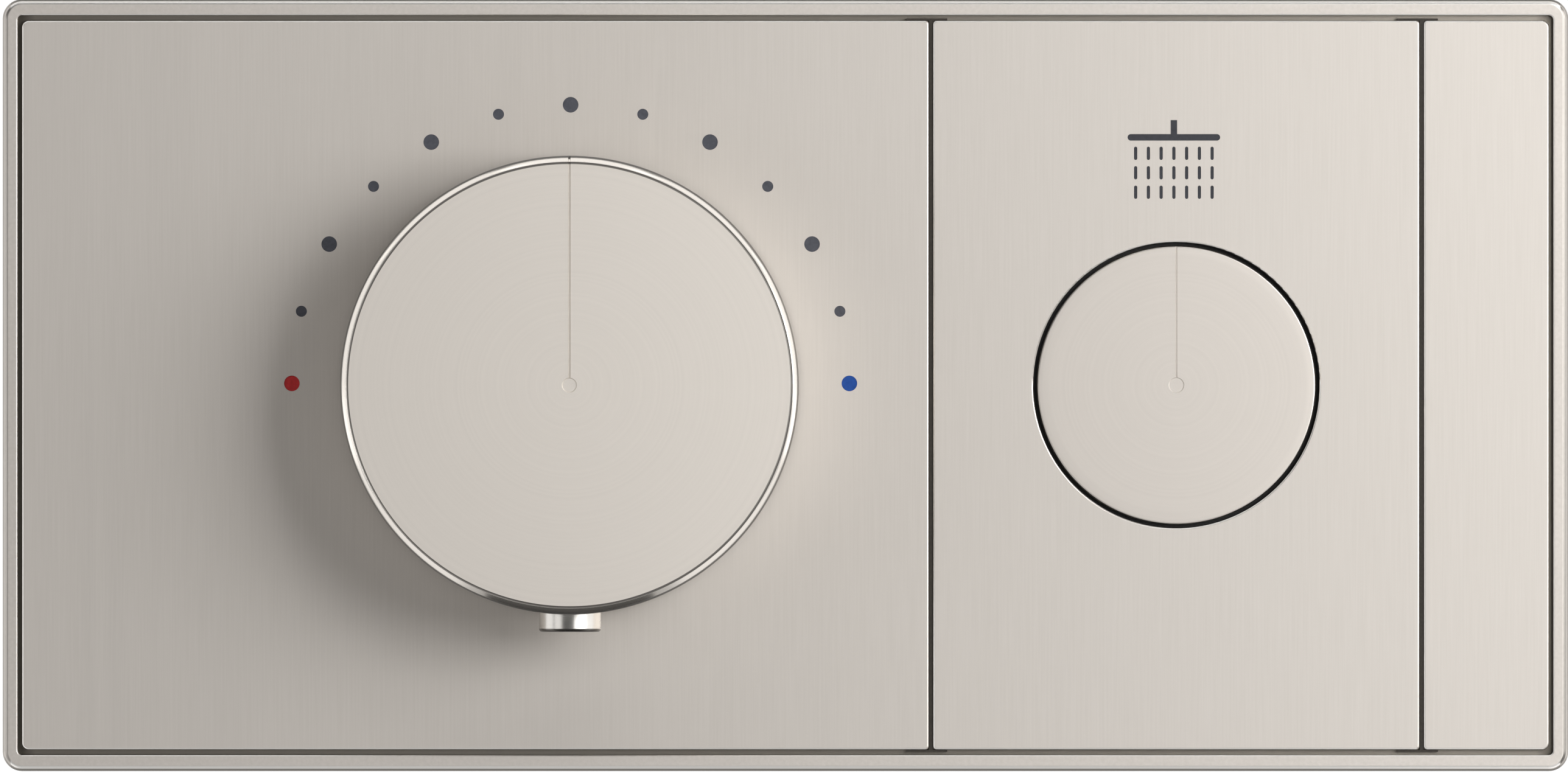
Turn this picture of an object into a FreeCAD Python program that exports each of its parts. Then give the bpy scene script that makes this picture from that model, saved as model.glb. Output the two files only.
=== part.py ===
import FreeCAD, Part
import math
import os

# Wall-mounted thermostatic shower control.
# Origin: centre of the panel on the finished wall, +X right, +Y into the wall, +Z up.

# Trim panel
panel_width = 240.0
panel_height = 118.4
panel_depth = 9.0
panel_corner_radius = 3.0
gasket_thickness = 1.0
skirt_wall = 5.0
rim_side = 2.35
rim_top = 2.5
rim_inner_corner = 0.75
rim_edge_radius = 0.25
rim_outer_radius = 0.9
plate_thickness = 1.5
plate_gap_side = 0.62
plate_gap_top = 0.8
plate_corner_radius = 1.05
plate_edge_radius = 0.3
joint_gap = 0.63
floor_thickness = 2.0
chassis_thickness = 3.0
chassis_margin = 4.0
button_plate_width = 75.2
blank_plate_width = 19.215
divider_drop = 0.35
divider_head_width = 6.3
divider_head_offset = 0.65
divider_head_height = 0.3
divider_clearance = 0.03

# Temperature knob
knob_to_joint = 55.23
knob_radius = 35.0
knob_length = 28.0
knob_standoff = 2.0
knob_edge = 0.9
knob_wall = 2.5
knob_face = 3.0
hub_radius = 14.0
hub_length = 19.0
insert_radius = 8.0
insert_flange = 2.0
insert_screw_count = 3
insert_screw_radius = 1.25
insert_screw_length = 8.0
insert_screw_circle = 11.0
insert_screw_head_radius = 2.2
insert_screw_head = 1.2
pointer_width = 0.42
pointer_depth = 0.3
knob_dimple_radius = 1.15
button_dimple_radius = 1.2
dimple_depth = 0.5

# Override button in the knob's underside
override_radius = 4.72
override_proud = 2.7
override_edge = 0.45
override_depth = 14.0
override_flange = 1.5
override_lip = 1.5
override_bore = 2.9
override_floor = 3.0
override_spring_wire = 0.8

# Rotation stop collar behind the knob
collar_outer = 24.0
collar_wall = 4.0
collar_proud = 6.0
stop_width = 6.0
stop_reach = 18.5
stop_height = 2.5
stop_half_angle = 75.0
stop_inner = 15.5

# Scale marks round the knob
scale_radius = 42.72
scale_rise = 0.27
scale_step = 15.0
large_dot_radius = 1.2
small_dot_radius = 0.85
mark_depth = 0.4
mark_drop = 0.05
mark_clearance = 0.02

# Shower sign on the button plate
sign_bar_width = 14.2
sign_bar_height = 1.0
sign_bar_z = 38.0
sign_shift = -0.38
sign_stem_height = 2.15
sign_columns = 7
sign_rows = 3
sign_column_pitch = 1.953
sign_row_pitch = 2.985
sign_drop_width = 0.5
sign_drop_height = 2.04
sign_first_row = 2.45

# Outlet button
button_radius = 21.3
button_gap = 0.63
button_depth = 13.0
button_face = 2.5
button_wall = 2.0
button_edge = 0.2
button_hole_edge = 0.25
button_press = 1.5
carrier_thickness = 2.5
carrier_boss_radius = 9.0
carrier_boss = 1.5

# Bracket and trim fixings
bracket_setback = 12.0
bracket_thickness = 2.0
bracket_margin_x = 13.0
bracket_margin_z = 7.2
bracket_corner = 6.0
bracket_hole_radius = 2.75
bracket_hole_margin_x = 17.0
bracket_hole_margin_z = 8.0
standoff_margin_x = 5.0
standoff_pitch_z = 64.0
standoff_radius = 4.0
trim_screw_radius = 2.0
trim_screw_head_radius = 3.6
trim_screw_head = 1.6
trim_screw_length = 10.0
frame_screw_radius = 1.5
frame_screw_head_radius = 2.8
frame_screw_head = 1.2
frame_screw_margin_x = 30.0
frame_screw_margin_z = 8.85
ear_radius = 6.0
ear_length = 10.0
ear_screw_radius = 2.0
ear_screw_head_radius = 3.5
ear_screw_head = 2.2
thermostat_ear_z = 33.0
volume_ear_z = 29.0

# Fits
running_fit = 0.06
part_gap = 0.1
hole_gap = 0.6
ring_gap = 0.03

# Valve bodies and cartridges, measured along Y from the bracket's back face
thermostat_bore = 20.0
thermostat_body_wall = 6.0
volume_bore = 17.0
volume_body_wall = 5.0
mouth_depth = 10.0
mouth_step = 1.0
cartridge_length = 42.0
rear_chamber = 18.0
rear_wall = 4.0
body_edge_radius = 3.0
nut_head = 6.0
nut_head_step = 3.0
neck_proud = 10.0
flange_thickness = 4.0
flange_step = 0.6
thermostat_neck = 15.8
volume_neck = 12.8
neck_gap = 0.2
head_floor = 8.0

# Thermostat mechanism
spindle_radius = 4.5
spindle_flat = 3.4
spindle_reach = 17.0
thrust_radius = 12.0
thrust_thickness = 3.8
thread_radius = 7.0
thread_length = 15.0
mixer_bore = 15.6
nut_slack = 0.4
housing_shoulder = 1.0
regulator_travel = 1.5
regulator_slack = 0.3
nut_length = 17.0
nut_thread_length = 8.0
nut_cavity = 12.0
key_width = 4.0
key_height = 2.1
cap_thickness = 2.5
retainer_thickness = 1.0
retainer_wall = 2.0
pin_radius = 2.0
pin_head_radius = 4.0
pin_head = 1.5
pin_length = 7.5
element_gap = 3.0
element_radius = 6.0
element_length = 17.0
element_flange_radius = 9.0
element_flange = 2.0
element_nose = 4.0
element_tail_radius = 4.5
pin_bore_depth = 6.0
spool_length = 8.0
spool_wall = 3.5
spool_web = 2.0
spool_port_radius = 1.8
spool_port_count = 6
end_ring_length = 3.0
end_ring_hole = 7.0
port_width = 9.0
port_length = 4.5
port_overlap = 0.5
gallery_depth = 2.5
gallery_length = 8.5
oring_section = 0.8
spring_wire = 1.2
spring_gap = 0.1

# Shut-off and volume mechanism
stem_radius = 5.0
stem_square = 7.0
stem_slack = 0.5
sleeve_bore = 13.1
sleeve_wall = 3.05
sleeve_length = 22.7
sleeve_web_setback = 3.0
sleeve_web = 4.0
sleeve_window = 10.0
sleeve_window_setback = 9.0
seat_radius = 9.05
seat_setback = 34.0
piston_radius = 9.0
piston_length = 6.0
piston_setback = 36.5

# Brass and copper water ways
branch_radius = 8.5
branch_bore = 6.0
leg_radius = 10.5
leg_bore = 8.0
leg_length = 44.0
leg_counterbore = 26.0
hot_leg_offset = 43.07
cold_leg_offset = 44.93
crossover_radius = 8.0
crossover_bore = 6.0
outlet_length = 44.0
adapter_radius = 13.0
adapter_length = 20.0
adapter_lap = 6.0
adapter_hex_length = 8.0
adapter_step = 1.5
tube_socket_radius = 8.0
tube_socket_depth = 12.7
tube_stop_radius = 7.0

# Check valves in the inlet legs
check_length = 18.0
check_wall = 1.95
check_seat_radius = 4.0
check_seat = 3.0
check_spider = 2.0
check_spider_setback = 2.0
check_port_radius = 1.3
check_port_circle = 3.9
check_port_count = 4
poppet_radius = 5.4
poppet_thickness = 2.0
poppet_stem_radius = 1.5
check_spring_wire = 0.8
check_spring_radius = 3.0
screen_wall = 0.5

# Stations along Y
frame_back = -gasket_thickness
front = frame_back - panel_depth
floor_front = front + plate_thickness
floor_back = floor_front + floor_thickness
chassis_back = floor_back + chassis_thickness
knob_back = front - knob_standoff
knob_front = knob_back - knob_length
hub_back = knob_front + knob_face + hub_length
bracket_front = bracket_setback
body_front = bracket_front + bracket_thickness
seat_front = body_front + mouth_depth
flange_front = seat_front - flange_thickness
cartridge_back = seat_front + cartridge_length
body_back = cartridge_back + rear_chamber + rear_wall
neck_front = body_front - neck_proud
cavity_front = neck_front + head_floor
crossover_y = cartridge_back + rear_chamber / 2
mixer_front = flange_front + housing_shoulder
regulator_front = mixer_front + regulator_travel + regulator_slack
regulator_back = regulator_front + nut_length
retainer_front = regulator_back - retainer_thickness
cap_back = retainer_front
cap_front = cap_back - cap_thickness
element_front = regulator_back + element_gap
element_seat = element_front + element_nose + element_flange
spool_front = element_seat - (spool_length - spool_web) / 2
spool_back = spool_front + spool_length
end_ring_front = cartridge_back - end_ring_length
cold_port_y = spool_front + port_overlap - port_length / 2
hot_port_y = spool_back - port_overlap + port_length / 2
sleeve_front = mixer_front + part_gap
outlet_y = sleeve_front + sleeve_window_setback + sleeve_window / 2
carrier_front = front + button_face
carrier_back = carrier_front + carrier_thickness
boss_back = carrier_back + carrier_boss
plate_half_width = panel_width / 2 - rim_side - plate_gap_side
plate_half_height = panel_height / 2 - rim_top - plate_gap_top
second_joint_x = plate_half_width - blank_plate_width - joint_gap / 2
first_joint_x = second_joint_x - button_plate_width
button_x = (first_joint_x + second_joint_x) / 2
knob_x = first_joint_x - knob_to_joint
hot_leg_x = knob_x - hot_leg_offset
cold_leg_x = knob_x + cold_leg_offset
leg_shoulder = leg_length - leg_counterbore
bracket_width = panel_width - 2 * bracket_margin_x
bracket_height = panel_height - 2 * bracket_margin_z
button_hole_radius = button_radius + button_gap
collar_hole_radius = collar_outer + hole_gap
override_y = knob_back - knob_length / 2
piston_front = cavity_front + piston_setback
square_front = sleeve_front + sleeve_web_setback - button_press - stem_slack


def rod(x, z, radius, start, end):
    return Part.makeCylinder(radius, end - start, FreeCAD.Vector(x, start, z), FreeCAD.Vector(0, 1, 0))


def rod_x(y, z, radius, start, end):
    return Part.makeCylinder(radius, end - start, FreeCAD.Vector(start, y, z), FreeCAD.Vector(1, 0, 0))


def rod_z(x, y, radius, start, end):
    return Part.makeCylinder(radius, end - start, FreeCAD.Vector(x, y, start), FreeCAD.Vector(0, 0, 1))


def tube(x, z, outer, inner, start, end):
    return rod(x, z, outer, start, end).cut(rod(x, z, inner, start, end))


def tube_z(x, y, outer, inner, start, end):
    return rod_z(x, y, outer, start, end).cut(rod_z(x, y, inner, start, end))


def block(x0, x1, y0, y1, z0, z1):
    return Part.makeBox(x1 - x0, y1 - y0, z1 - z0, FreeCAD.Vector(x0, y0, z0))


def slab(x0, x1, z0, z1, y0, y1, corners):
    # A flat plate in the XZ plane; corners are its radii: low left, low right, top right, top left.
    solid = block(x0, x1, y0, y1, z0, z1)
    places = [(x0, z0), (x1, z0), (x1, z1), (x0, z1)]
    for (x, z), radius in zip(places, corners):
        edges = [
            edge
            for edge in solid.Edges
            if abs(edge.BoundBox.XMin - x) < 1e-6
            and abs(edge.BoundBox.XMax - x) < 1e-6
            and abs(edge.BoundBox.ZMin - z) < 1e-6
            and abs(edge.BoundBox.ZMax - z) < 1e-6
        ]
        solid = solid.makeFillet(radius, edges)
    return solid


def front_edges(solid, y):
    # Every edge that lies in the plane at this Y.
    return [
        edge
        for edge in solid.Edges
        if abs(edge.BoundBox.YMin - y) < 1e-6 and abs(edge.BoundBox.YMax - y) < 1e-6
    ]


def soften_front(solid, y, radius):
    return solid.makeFillet(radius, front_edges(solid, y))


def around(x, z, solid, angle):
    turned = solid.copy()
    turned.rotate(FreeCAD.Vector(x, 0, z), FreeCAD.Vector(0, -1, 0), angle)
    return turned


def grid(pitch_x, pitch_z):
    return [(sx * pitch_x / 2, sz * pitch_z / 2) for sx in (-1, 1) for sz in (-1, 1)]


def washer_ring(x, y, z, radius, section):
    return Part.makeTorus(radius, section, FreeCAD.Vector(x, y, z), FreeCAD.Vector(0, 1, 0))


def joined(solids):
    first, *others = solids
    return first.multiFuse(others).removeSplitter() if others else first


def save(name, solids):
    group = solids if isinstance(solids, list) else [solids]
    for solid in group:
        if not solid.isValid():
            print("invalid solid in", name)
    pieces = [piece for solid in group for piece in solid.Solids]
    shape = pieces[0] if len(pieces) == 1 else Part.makeCompound(pieces)
    shape.exportStep("parts/" + name + ".step")
    print(name, len(pieces), round(sum(piece.Volume for piece in pieces), 1))


# Trim panel
trim_screw_places = grid(bracket_width - 2 * standoff_margin_x, standoff_pitch_z)
frame_screw_places = grid(panel_width - 2 * frame_screw_margin_x, panel_height - 2 * frame_screw_margin_z)
wall_screw_pitch_z = bracket_height - 2 * bracket_hole_margin_z
wall_screw_places = grid(bracket_width - 2 * bracket_hole_margin_x, wall_screw_pitch_z)


def trim_frame():
    half_w = panel_width / 2
    half_h = panel_height / 2
    outer = [panel_corner_radius] * 4
    shell = slab(-half_w, half_w, -half_h, half_h, front, frame_back, outer)
    shell = soften_front(shell, front, rim_outer_radius)
    pocket_w = half_w - rim_side
    pocket_h = half_h - rim_top
    inner = [rim_inner_corner] * 4
    shell = shell.cut(slab(-pocket_w, pocket_w, -pocket_h, pocket_h, front, floor_front, inner))
    pocket_edges = [
        edge
        for edge in front_edges(shell, front)
        if edge.BoundBox.XMin > -pocket_w - 1e-6
        and edge.BoundBox.XMax < pocket_w + 1e-6
        and edge.BoundBox.ZMin > -pocket_h - 1e-6
        and edge.BoundBox.ZMax < pocket_h + 1e-6
    ]
    shell = shell.makeFillet(rim_edge_radius, pocket_edges)
    hollow_w = half_w - skirt_wall
    hollow_h = half_h - skirt_wall
    shell = shell.cut(slab(-hollow_w, hollow_w, -hollow_h, hollow_h, floor_back, frame_back, inner))
    shell = shell.cut(rod(knob_x, 0, collar_hole_radius, floor_front, floor_back))
    shell = shell.cut(rod(button_x, 0, button_hole_radius + hole_gap, floor_front, floor_back))
    for x, z in trim_screw_places:
        shell = shell.cut(rod(x, z, trim_screw_head_radius + hole_gap, floor_front, floor_back))
    for x, z in frame_screw_places:
        head_back = floor_front + frame_screw_head
        shell = shell.cut(rod(x, z, frame_screw_head_radius + part_gap, floor_front, head_back))
        shell = shell.cut(rod(x, z, frame_screw_radius + part_gap, floor_front, floor_back))
    return shell


def plate(x0, x1, left_corner, right_corner):
    corners = [left_corner, right_corner, right_corner, left_corner]
    return slab(x0, x1, -plate_half_height, plate_half_height, front, floor_front, corners)


def scale_marks():
    # Large marks each 30 degrees and small ones between; the first and last are the cold and hot ends.
    marks = []
    steps = round(180 / scale_step)
    for step in range(steps + 1):
        angle = math.radians(step * scale_step)
        radius = small_dot_radius if step % 2 else large_dot_radius
        x = knob_x + scale_radius * math.cos(angle)
        marks.append((x, scale_rise + scale_radius * math.sin(angle), radius))
    return marks


def mark_pocket(x, z, radius):
    return rod(x, z, radius, front, front + mark_depth)


def mark_fill(x, z, radius):
    return rod(x, z, radius - mark_clearance, front + mark_drop, front + mark_depth)


def thermostat_plate():
    edge = first_joint_x - joint_gap / 2
    solid = plate(-plate_half_width, edge, plate_corner_radius, plate_corner_radius / 2)
    solid = soften_front(solid, front, plate_edge_radius)
    solid = solid.cut(rod(knob_x, 0, collar_hole_radius, front, floor_front))
    for mark in scale_marks():
        solid = solid.cut(mark_pocket(*mark))
    return solid


def strip(x, z, width, height, start, end):
    # A short stroke with round ends along its longer side.
    radius = min(width, height) / 2
    if width > height:
        run = width / 2 - radius
        body = block(x - run, x + run, start, end, z - radius, z + radius)
        ends = [rod(x - run, z, radius, start, end), rod(x + run, z, radius, start, end)]
    else:
        run = height / 2 - radius
        body = block(x - radius, x + radius, start, end, z - run, z + run)
        ends = [rod(x, z - run, radius, start, end), rod(x, z + run, radius, start, end)]
    return joined([body] + ends)


def sign_strokes(start, end, clearance):
    # A shower head seen from the side, with three rows of drops below it.
    sign_x = button_x + sign_shift
    height = sign_bar_height - 2 * clearance
    width = sign_bar_width - 2 * clearance
    bar = strip(sign_x, sign_bar_z, width, height, start, end)
    stem_top = sign_bar_z + sign_bar_height / 2 + sign_stem_height - clearance
    half = height / 2
    stem = block(sign_x - half, sign_x + half, start, end, sign_bar_z, stem_top)
    strokes = [joined([bar, stem])]
    for row in range(sign_rows):
        z = sign_bar_z - sign_first_row - row * sign_row_pitch
        for column in range(sign_columns):
            x = sign_x + (column - (sign_columns - 1) / 2) * sign_column_pitch
            drop_width = sign_drop_width - 2 * clearance
            strokes.append(strip(x, z, drop_width, sign_drop_height - 2 * clearance, start, end))
    return strokes


def button_plate():
    x0 = first_joint_x + joint_gap / 2
    x1 = second_joint_x - joint_gap / 2
    solid = plate(x0, x1, plate_corner_radius / 2, plate_corner_radius / 2)
    solid = soften_front(solid, front, plate_edge_radius)
    solid = solid.cut(rod(button_x, 0, button_hole_radius, front, floor_front))
    hole_edges = [edge for edge in front_edges(solid, front) if edge.isClosed()]
    solid = solid.makeFillet(button_hole_edge, hole_edges)
    return solid.cut(Part.makeCompound(sign_strokes(front, front + mark_depth, 0)))


def blank_plate():
    x0 = second_joint_x + joint_gap / 2
    solid = plate(x0, plate_half_width, plate_corner_radius / 2, plate_corner_radius)
    return soften_front(solid, front, plate_edge_radius)


def divider(x):
    # A black strip in the joint between two plates, with a cross head at each end.
    half = joint_gap / 2 - divider_clearance
    start = front + divider_drop
    inner = plate_half_height + divider_clearance
    tip = inner + divider_head_height
    body = block(x - half, x + half, start, floor_front, -tip, tip)
    left = x - divider_head_offset - divider_head_width / 2
    right = left + divider_head_width
    top = block(left, right, start, floor_front, inner, tip)
    bottom = block(left, right, start, floor_front, -tip, -inner)
    return joined([body, top, bottom])


def wall_gasket():
    half_w = panel_width / 2
    half_h = panel_height / 2
    ring = slab(-half_w, half_w, -half_h, half_h, frame_back, 0, [panel_corner_radius] * 4)
    hole_w = half_w - skirt_wall
    hole_h = half_h - skirt_wall
    return ring.cut(slab(-hole_w, hole_w, -hole_h, hole_h, frame_back, 0, [rim_inner_corner] * 4))


def trim_chassis():
    half_w = panel_width / 2 - skirt_wall - part_gap
    half_h = panel_height / 2 - skirt_wall - part_gap
    solid = slab(-half_w, half_w, -half_h, half_h, floor_back, chassis_back, [chassis_margin] * 4)
    solid = solid.cut(rod(knob_x, 0, collar_outer - collar_wall, floor_back, chassis_back))
    solid = solid.cut(rod(button_x, 0, button_hole_radius + hole_gap, floor_back, chassis_back))
    for x, z in trim_screw_places:
        solid = solid.cut(rod(x, z, trim_screw_radius + part_gap, floor_back, chassis_back))
    for x, z in frame_screw_places:
        solid = solid.cut(rod(x, z, frame_screw_radius, floor_back, chassis_back))
    return solid


def cap_screw(x, z, radius, head_radius, head, start, length):
    # A screw driven along +Y, with its head in front and a hexagon recess.
    across = head_radius
    neck = start + head
    screw = joined([rod(x, z, head_radius, start, neck), rod(x, z, radius, neck, neck + length)])
    points = [
        FreeCAD.Vector(
            x + across / 2 * math.cos(math.radians(60 * side)),
            start,
            z + across / 2 * math.sin(math.radians(60 * side)),
        )
        for side in range(7)
    ]
    recess = Part.Face(Part.makePolygon(points)).extrude(FreeCAD.Vector(0, head * 0.6, 0))
    return screw.cut(recess)


def frame_screws():
    length = floor_back - floor_front - frame_screw_head + chassis_thickness
    return [
        cap_screw(x, z, frame_screw_radius, frame_screw_head_radius, frame_screw_head, floor_front, length)
        for x, z in frame_screw_places
    ]


def trim_screws():
    start = floor_back - trim_screw_head
    return [
        cap_screw(x, z, trim_screw_radius, trim_screw_head_radius, trim_screw_head, start, trim_screw_length)
        for x, z in trim_screw_places
    ]


def trim_standoffs():
    depth = floor_back + trim_screw_length
    posts = []
    for x, z in trim_screw_places:
        post = rod(x, z, standoff_radius, chassis_back, bracket_front)
        posts.append(post.cut(rod(x, z, trim_screw_radius, chassis_back, depth)))
    return posts


# Fixing to the wall
ear_places = [
    (knob_x, thermostat_ear_z),
    (knob_x, -thermostat_ear_z),
    (button_x, volume_ear_z),
    (button_x, -volume_ear_z),
]


def mounting_bracket():
    half_w = bracket_width / 2
    half_h = bracket_height / 2
    solid = slab(-half_w, half_w, -half_h, half_h, bracket_front, body_front, [bracket_corner] * 4)
    thermostat_hole = thermostat_bore + mouth_step + nut_head_step + part_gap
    volume_hole = volume_bore + mouth_step + nut_head_step + part_gap
    solid = solid.cut(rod(knob_x, 0, thermostat_hole, bracket_front, body_front))
    solid = solid.cut(rod(button_x, 0, volume_hole, bracket_front, body_front))
    for x, z in wall_screw_places:
        solid = solid.cut(rod(x, z, bracket_hole_radius, bracket_front, body_front))
    for x, z in ear_places:
        solid = solid.cut(rod(x, z, ear_screw_radius + part_gap, bracket_front, body_front))
    return solid


def bracket_screws():
    start = bracket_front - ear_screw_head
    length = bracket_thickness + ear_length
    return [
        cap_screw(x, z, ear_screw_radius, ear_screw_head_radius, ear_screw_head, start, length)
        for x, z in ear_places
    ]


# Temperature knob
def pointer_cut(x, radius, y):
    # The engraved pointer line, from the centre straight up past the rim.
    half = pointer_width / 2
    return block(x - half, x + half, y, y + pointer_depth, 0, radius)


def dimple_cut(x, y, radius):
    ball = (radius**2 + dimple_depth**2) / (2 * dimple_depth)
    return Part.makeSphere(ball, FreeCAD.Vector(x, y + dimple_depth - ball, 0))


def insert_screw_places():
    places = []
    for index in range(insert_screw_count):
        angle = math.radians(30 + 360 * index / insert_screw_count)
        x = knob_x + insert_screw_circle * math.cos(angle)
        places.append((x, insert_screw_circle * math.sin(angle)))
    return places


def temperature_knob():
    solid = rod(knob_x, 0, knob_radius, knob_front, knob_back)
    solid = soften_front(solid, knob_front, knob_edge)
    solid = solid.cut(rod(knob_x, 0, knob_radius - knob_wall, knob_front + knob_face, knob_back))
    hub = rod(knob_x, 0, hub_radius, knob_front + knob_face, hub_back)
    solid = solid.fuse(hub).removeSplitter()
    solid = solid.cut(rod(knob_x, 0, insert_radius + part_gap, knob_front + knob_face, hub_back))
    hole_top = -(knob_radius + hub_radius) / 2
    solid = solid.cut(rod_z(knob_x, override_y, override_radius + part_gap, -knob_radius, hole_top))
    for x, z in insert_screw_places():
        solid = solid.cut(rod(x, z, insert_screw_radius, hub_back - insert_screw_length, hub_back))
    solid = solid.cut(pointer_cut(knob_x, knob_radius, knob_front))
    return solid.cut(dimple_cut(knob_x, knob_front, knob_dimple_radius))


def flatted(x, radius, flat, start, end):
    # A round bar with two flats, left and right.
    return rod(x, 0, radius, start, end).common(block(x - flat, x + flat, start, end, -radius, radius))


spindle_front = hub_back - spindle_reach + insert_flange


def knob_insert():
    back = hub_back + insert_flange
    plug = rod(knob_x, 0, insert_radius, knob_front + knob_face, hub_back)
    flange = rod(knob_x, 0, hub_radius, hub_back, back)
    half = stop_width / 2
    lug = block(knob_x - half, knob_x + half, hub_back, back + stop_height, insert_radius, stop_reach)
    solid = joined([plug, flange, lug])
    bore_front = spindle_front - part_gap
    bore = flatted(knob_x, spindle_radius + part_gap, spindle_flat + part_gap, bore_front, back)
    solid = solid.cut(bore)
    for x, z in insert_screw_places():
        solid = solid.cut(rod(x, z, insert_screw_radius + part_gap, hub_back, back))
    return solid


def insert_screws():
    screws = []
    for x, z in insert_screw_places():
        back = hub_back + insert_flange
        head = rod(x, z, insert_screw_head_radius, back, back + insert_screw_head)
        shank = rod(x, z, insert_screw_radius, hub_back - insert_screw_length, back)
        slot = block(
            x - insert_screw_head_radius,
            x + insert_screw_head_radius,
            back + insert_screw_head / 2,
            back + insert_screw_head,
            z - insert_screw_radius / 4,
            z + insert_screw_radius / 4,
        )
        screws.append(joined([shank, head]).cut(slot))
    return screws


override_bottom = -knob_radius - override_proud
override_top = override_bottom + override_depth
override_flange_z = -(knob_radius - knob_wall) + override_lip


def override_button():
    shaft = rod_z(knob_x, override_y, override_radius, override_bottom, override_top)
    low = [edge for edge in shaft.Edges if abs(edge.BoundBox.ZMax - override_bottom) < 1e-6]
    shaft = shaft.makeFillet(override_edge, low)
    flange_top = override_flange_z + override_flange
    flange = rod_z(knob_x, override_y, override_radius + override_lip, override_flange_z, flange_top)
    bore = rod_z(knob_x, override_y, override_bore, override_bottom + override_floor, override_top)
    return joined([shaft, flange]).cut(bore)


def override_spring():
    outer = override_bore - part_gap
    top = -hub_radius - part_gap
    low = override_bottom + override_floor
    return tube_z(knob_x, override_y, outer, outer - override_spring_wire, low, top)


def stop_collar():
    start = front - collar_proud
    ring = tube(knob_x, 0, collar_outer, collar_outer - collar_wall, start, floor_back)
    lug_back = start + stop_height + insert_flange
    stop = tube(knob_x, 0, collar_outer - collar_wall / 2, stop_inner, start, lug_back)
    reach = 2 * collar_outer
    points = [FreeCAD.Vector(knob_x, start, 0)]
    for angle in (270 - stop_half_angle, 270, 270 + stop_half_angle):
        turn = math.radians(angle)
        points.append(FreeCAD.Vector(knob_x + reach * math.cos(turn), start, reach * math.sin(turn)))
    points.append(points[0])
    wedge = Part.Face(Part.makePolygon(points)).extrude(FreeCAD.Vector(0, lug_back - start, 0))
    return joined([ring, stop.common(wedge)])


# Cartridge pieces shared by both valves
def valve_nut(x, bore, neck):
    # A round nut with six spanner flats that screws into the body's mouth.
    thread = bore + mouth_step - part_gap / 2
    head_radius = bore + mouth_step + nut_head_step
    head_front = body_front - nut_head
    across = head_radius * math.cos(math.radians(30)) / math.cos(math.radians(15))
    head = rod(x, 0, head_radius, head_front, body_front)
    flats = []
    for side in range(6):
        keep = block(x - head_radius, x + head_radius, head_front, body_front, -head_radius, across)
        flats.append(around(x, 0, keep, 60 * side))
    for keep in flats:
        head = head.common(keep)
    solid = joined([head, rod(x, 0, thread, body_front, flange_front)])
    return solid.cut(rod(x, 0, neck + neck_gap, head_front, flange_front))


def seal_groove(x, radius, y):
    width = oring_section + ring_gap
    depth = 2 * oring_section
    return tube(x, 0, radius + 1, radius - depth, y - width, y + width)


def seal_ring(x, radius, y):
    return washer_ring(x, y, 0, radius - oring_section, oring_section - ring_gap)


thermostat_outer = thermostat_bore - part_gap
volume_outer = volume_bore - part_gap
seal_setback = 3.0
thermostat_seals = [
    seat_front + seal_setback,
    (cold_port_y + hot_port_y) / 2,
    cartridge_back - seal_setback,
]
volume_seals = [seat_front + seal_setback, cartridge_back - seal_setback]
stem_seal_y = neck_front + seal_setback


def shaft_groove(x, radius, y):
    # A groove in the bore round a shaft, for that shaft's sealing ring.
    width = oring_section + ring_gap
    return rod(x, 0, radius + 2 * oring_section, y - width, y + width)


def shaft_ring(x, radius, y):
    return washer_ring(x, y, 0, radius + oring_section + ring_gap, oring_section - ring_gap)


def radial_ports(x, y, length, reach):
    cross = [
        block(x - reach, x + reach, y - length / 2, y + length / 2, -port_width / 2, port_width / 2),
        block(x - port_width / 2, x + port_width / 2, y - length / 2, y + length / 2, -reach, reach),
    ]
    return joined(cross)


# Thermostatic cartridge
def thermostat_housing():
    neck = rod(knob_x, 0, thermostat_neck, neck_front, flange_front)
    flange = rod(knob_x, 0, thermostat_bore + flange_step, flange_front, seat_front)
    barrel = rod(knob_x, 0, thermostat_outer, seat_front, cartridge_back)
    solid = joined([neck, flange, barrel])
    solid = solid.cut(rod(knob_x, 0, spindle_radius + running_fit, neck_front, cavity_front))
    solid = solid.cut(shaft_groove(knob_x, spindle_radius, stem_seal_y))
    solid = solid.cut(rod(knob_x, 0, thrust_radius + part_gap, cavity_front, mixer_front))
    solid = solid.cut(rod(knob_x, 0, mixer_bore, mixer_front, cartridge_back))
    key_half = key_width / 2 + part_gap
    key_reach = mixer_bore + key_height + part_gap
    key_back = regulator_back + regulator_travel + regulator_slack
    key_slot = block(knob_x - key_reach, knob_x + key_reach, mixer_front, key_back, -key_half, key_half)
    solid = solid.cut(key_slot)
    reach = thermostat_bore + mouth_step
    solid = solid.cut(radial_ports(knob_x, cold_port_y, port_length, reach))
    solid = solid.cut(radial_ports(knob_x, hot_port_y, port_length, reach))
    for y in thermostat_seals:
        solid = solid.cut(seal_groove(knob_x, thermostat_outer, y))
    return solid


def thermostat_spindle():
    thrust_front = cavity_front + spring_gap
    thrust_back = thrust_front + thrust_thickness
    tip = flatted(knob_x, spindle_radius, spindle_flat, spindle_front, hub_back + insert_flange)
    shaft = rod(knob_x, 0, spindle_radius, hub_back + insert_flange, thrust_front)
    thrust = rod(knob_x, 0, thrust_radius, thrust_front, thrust_back)
    thread = rod(knob_x, 0, thread_radius, thrust_back, thrust_back + thread_length)
    return joined([tip, shaft, thrust, thread])


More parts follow.
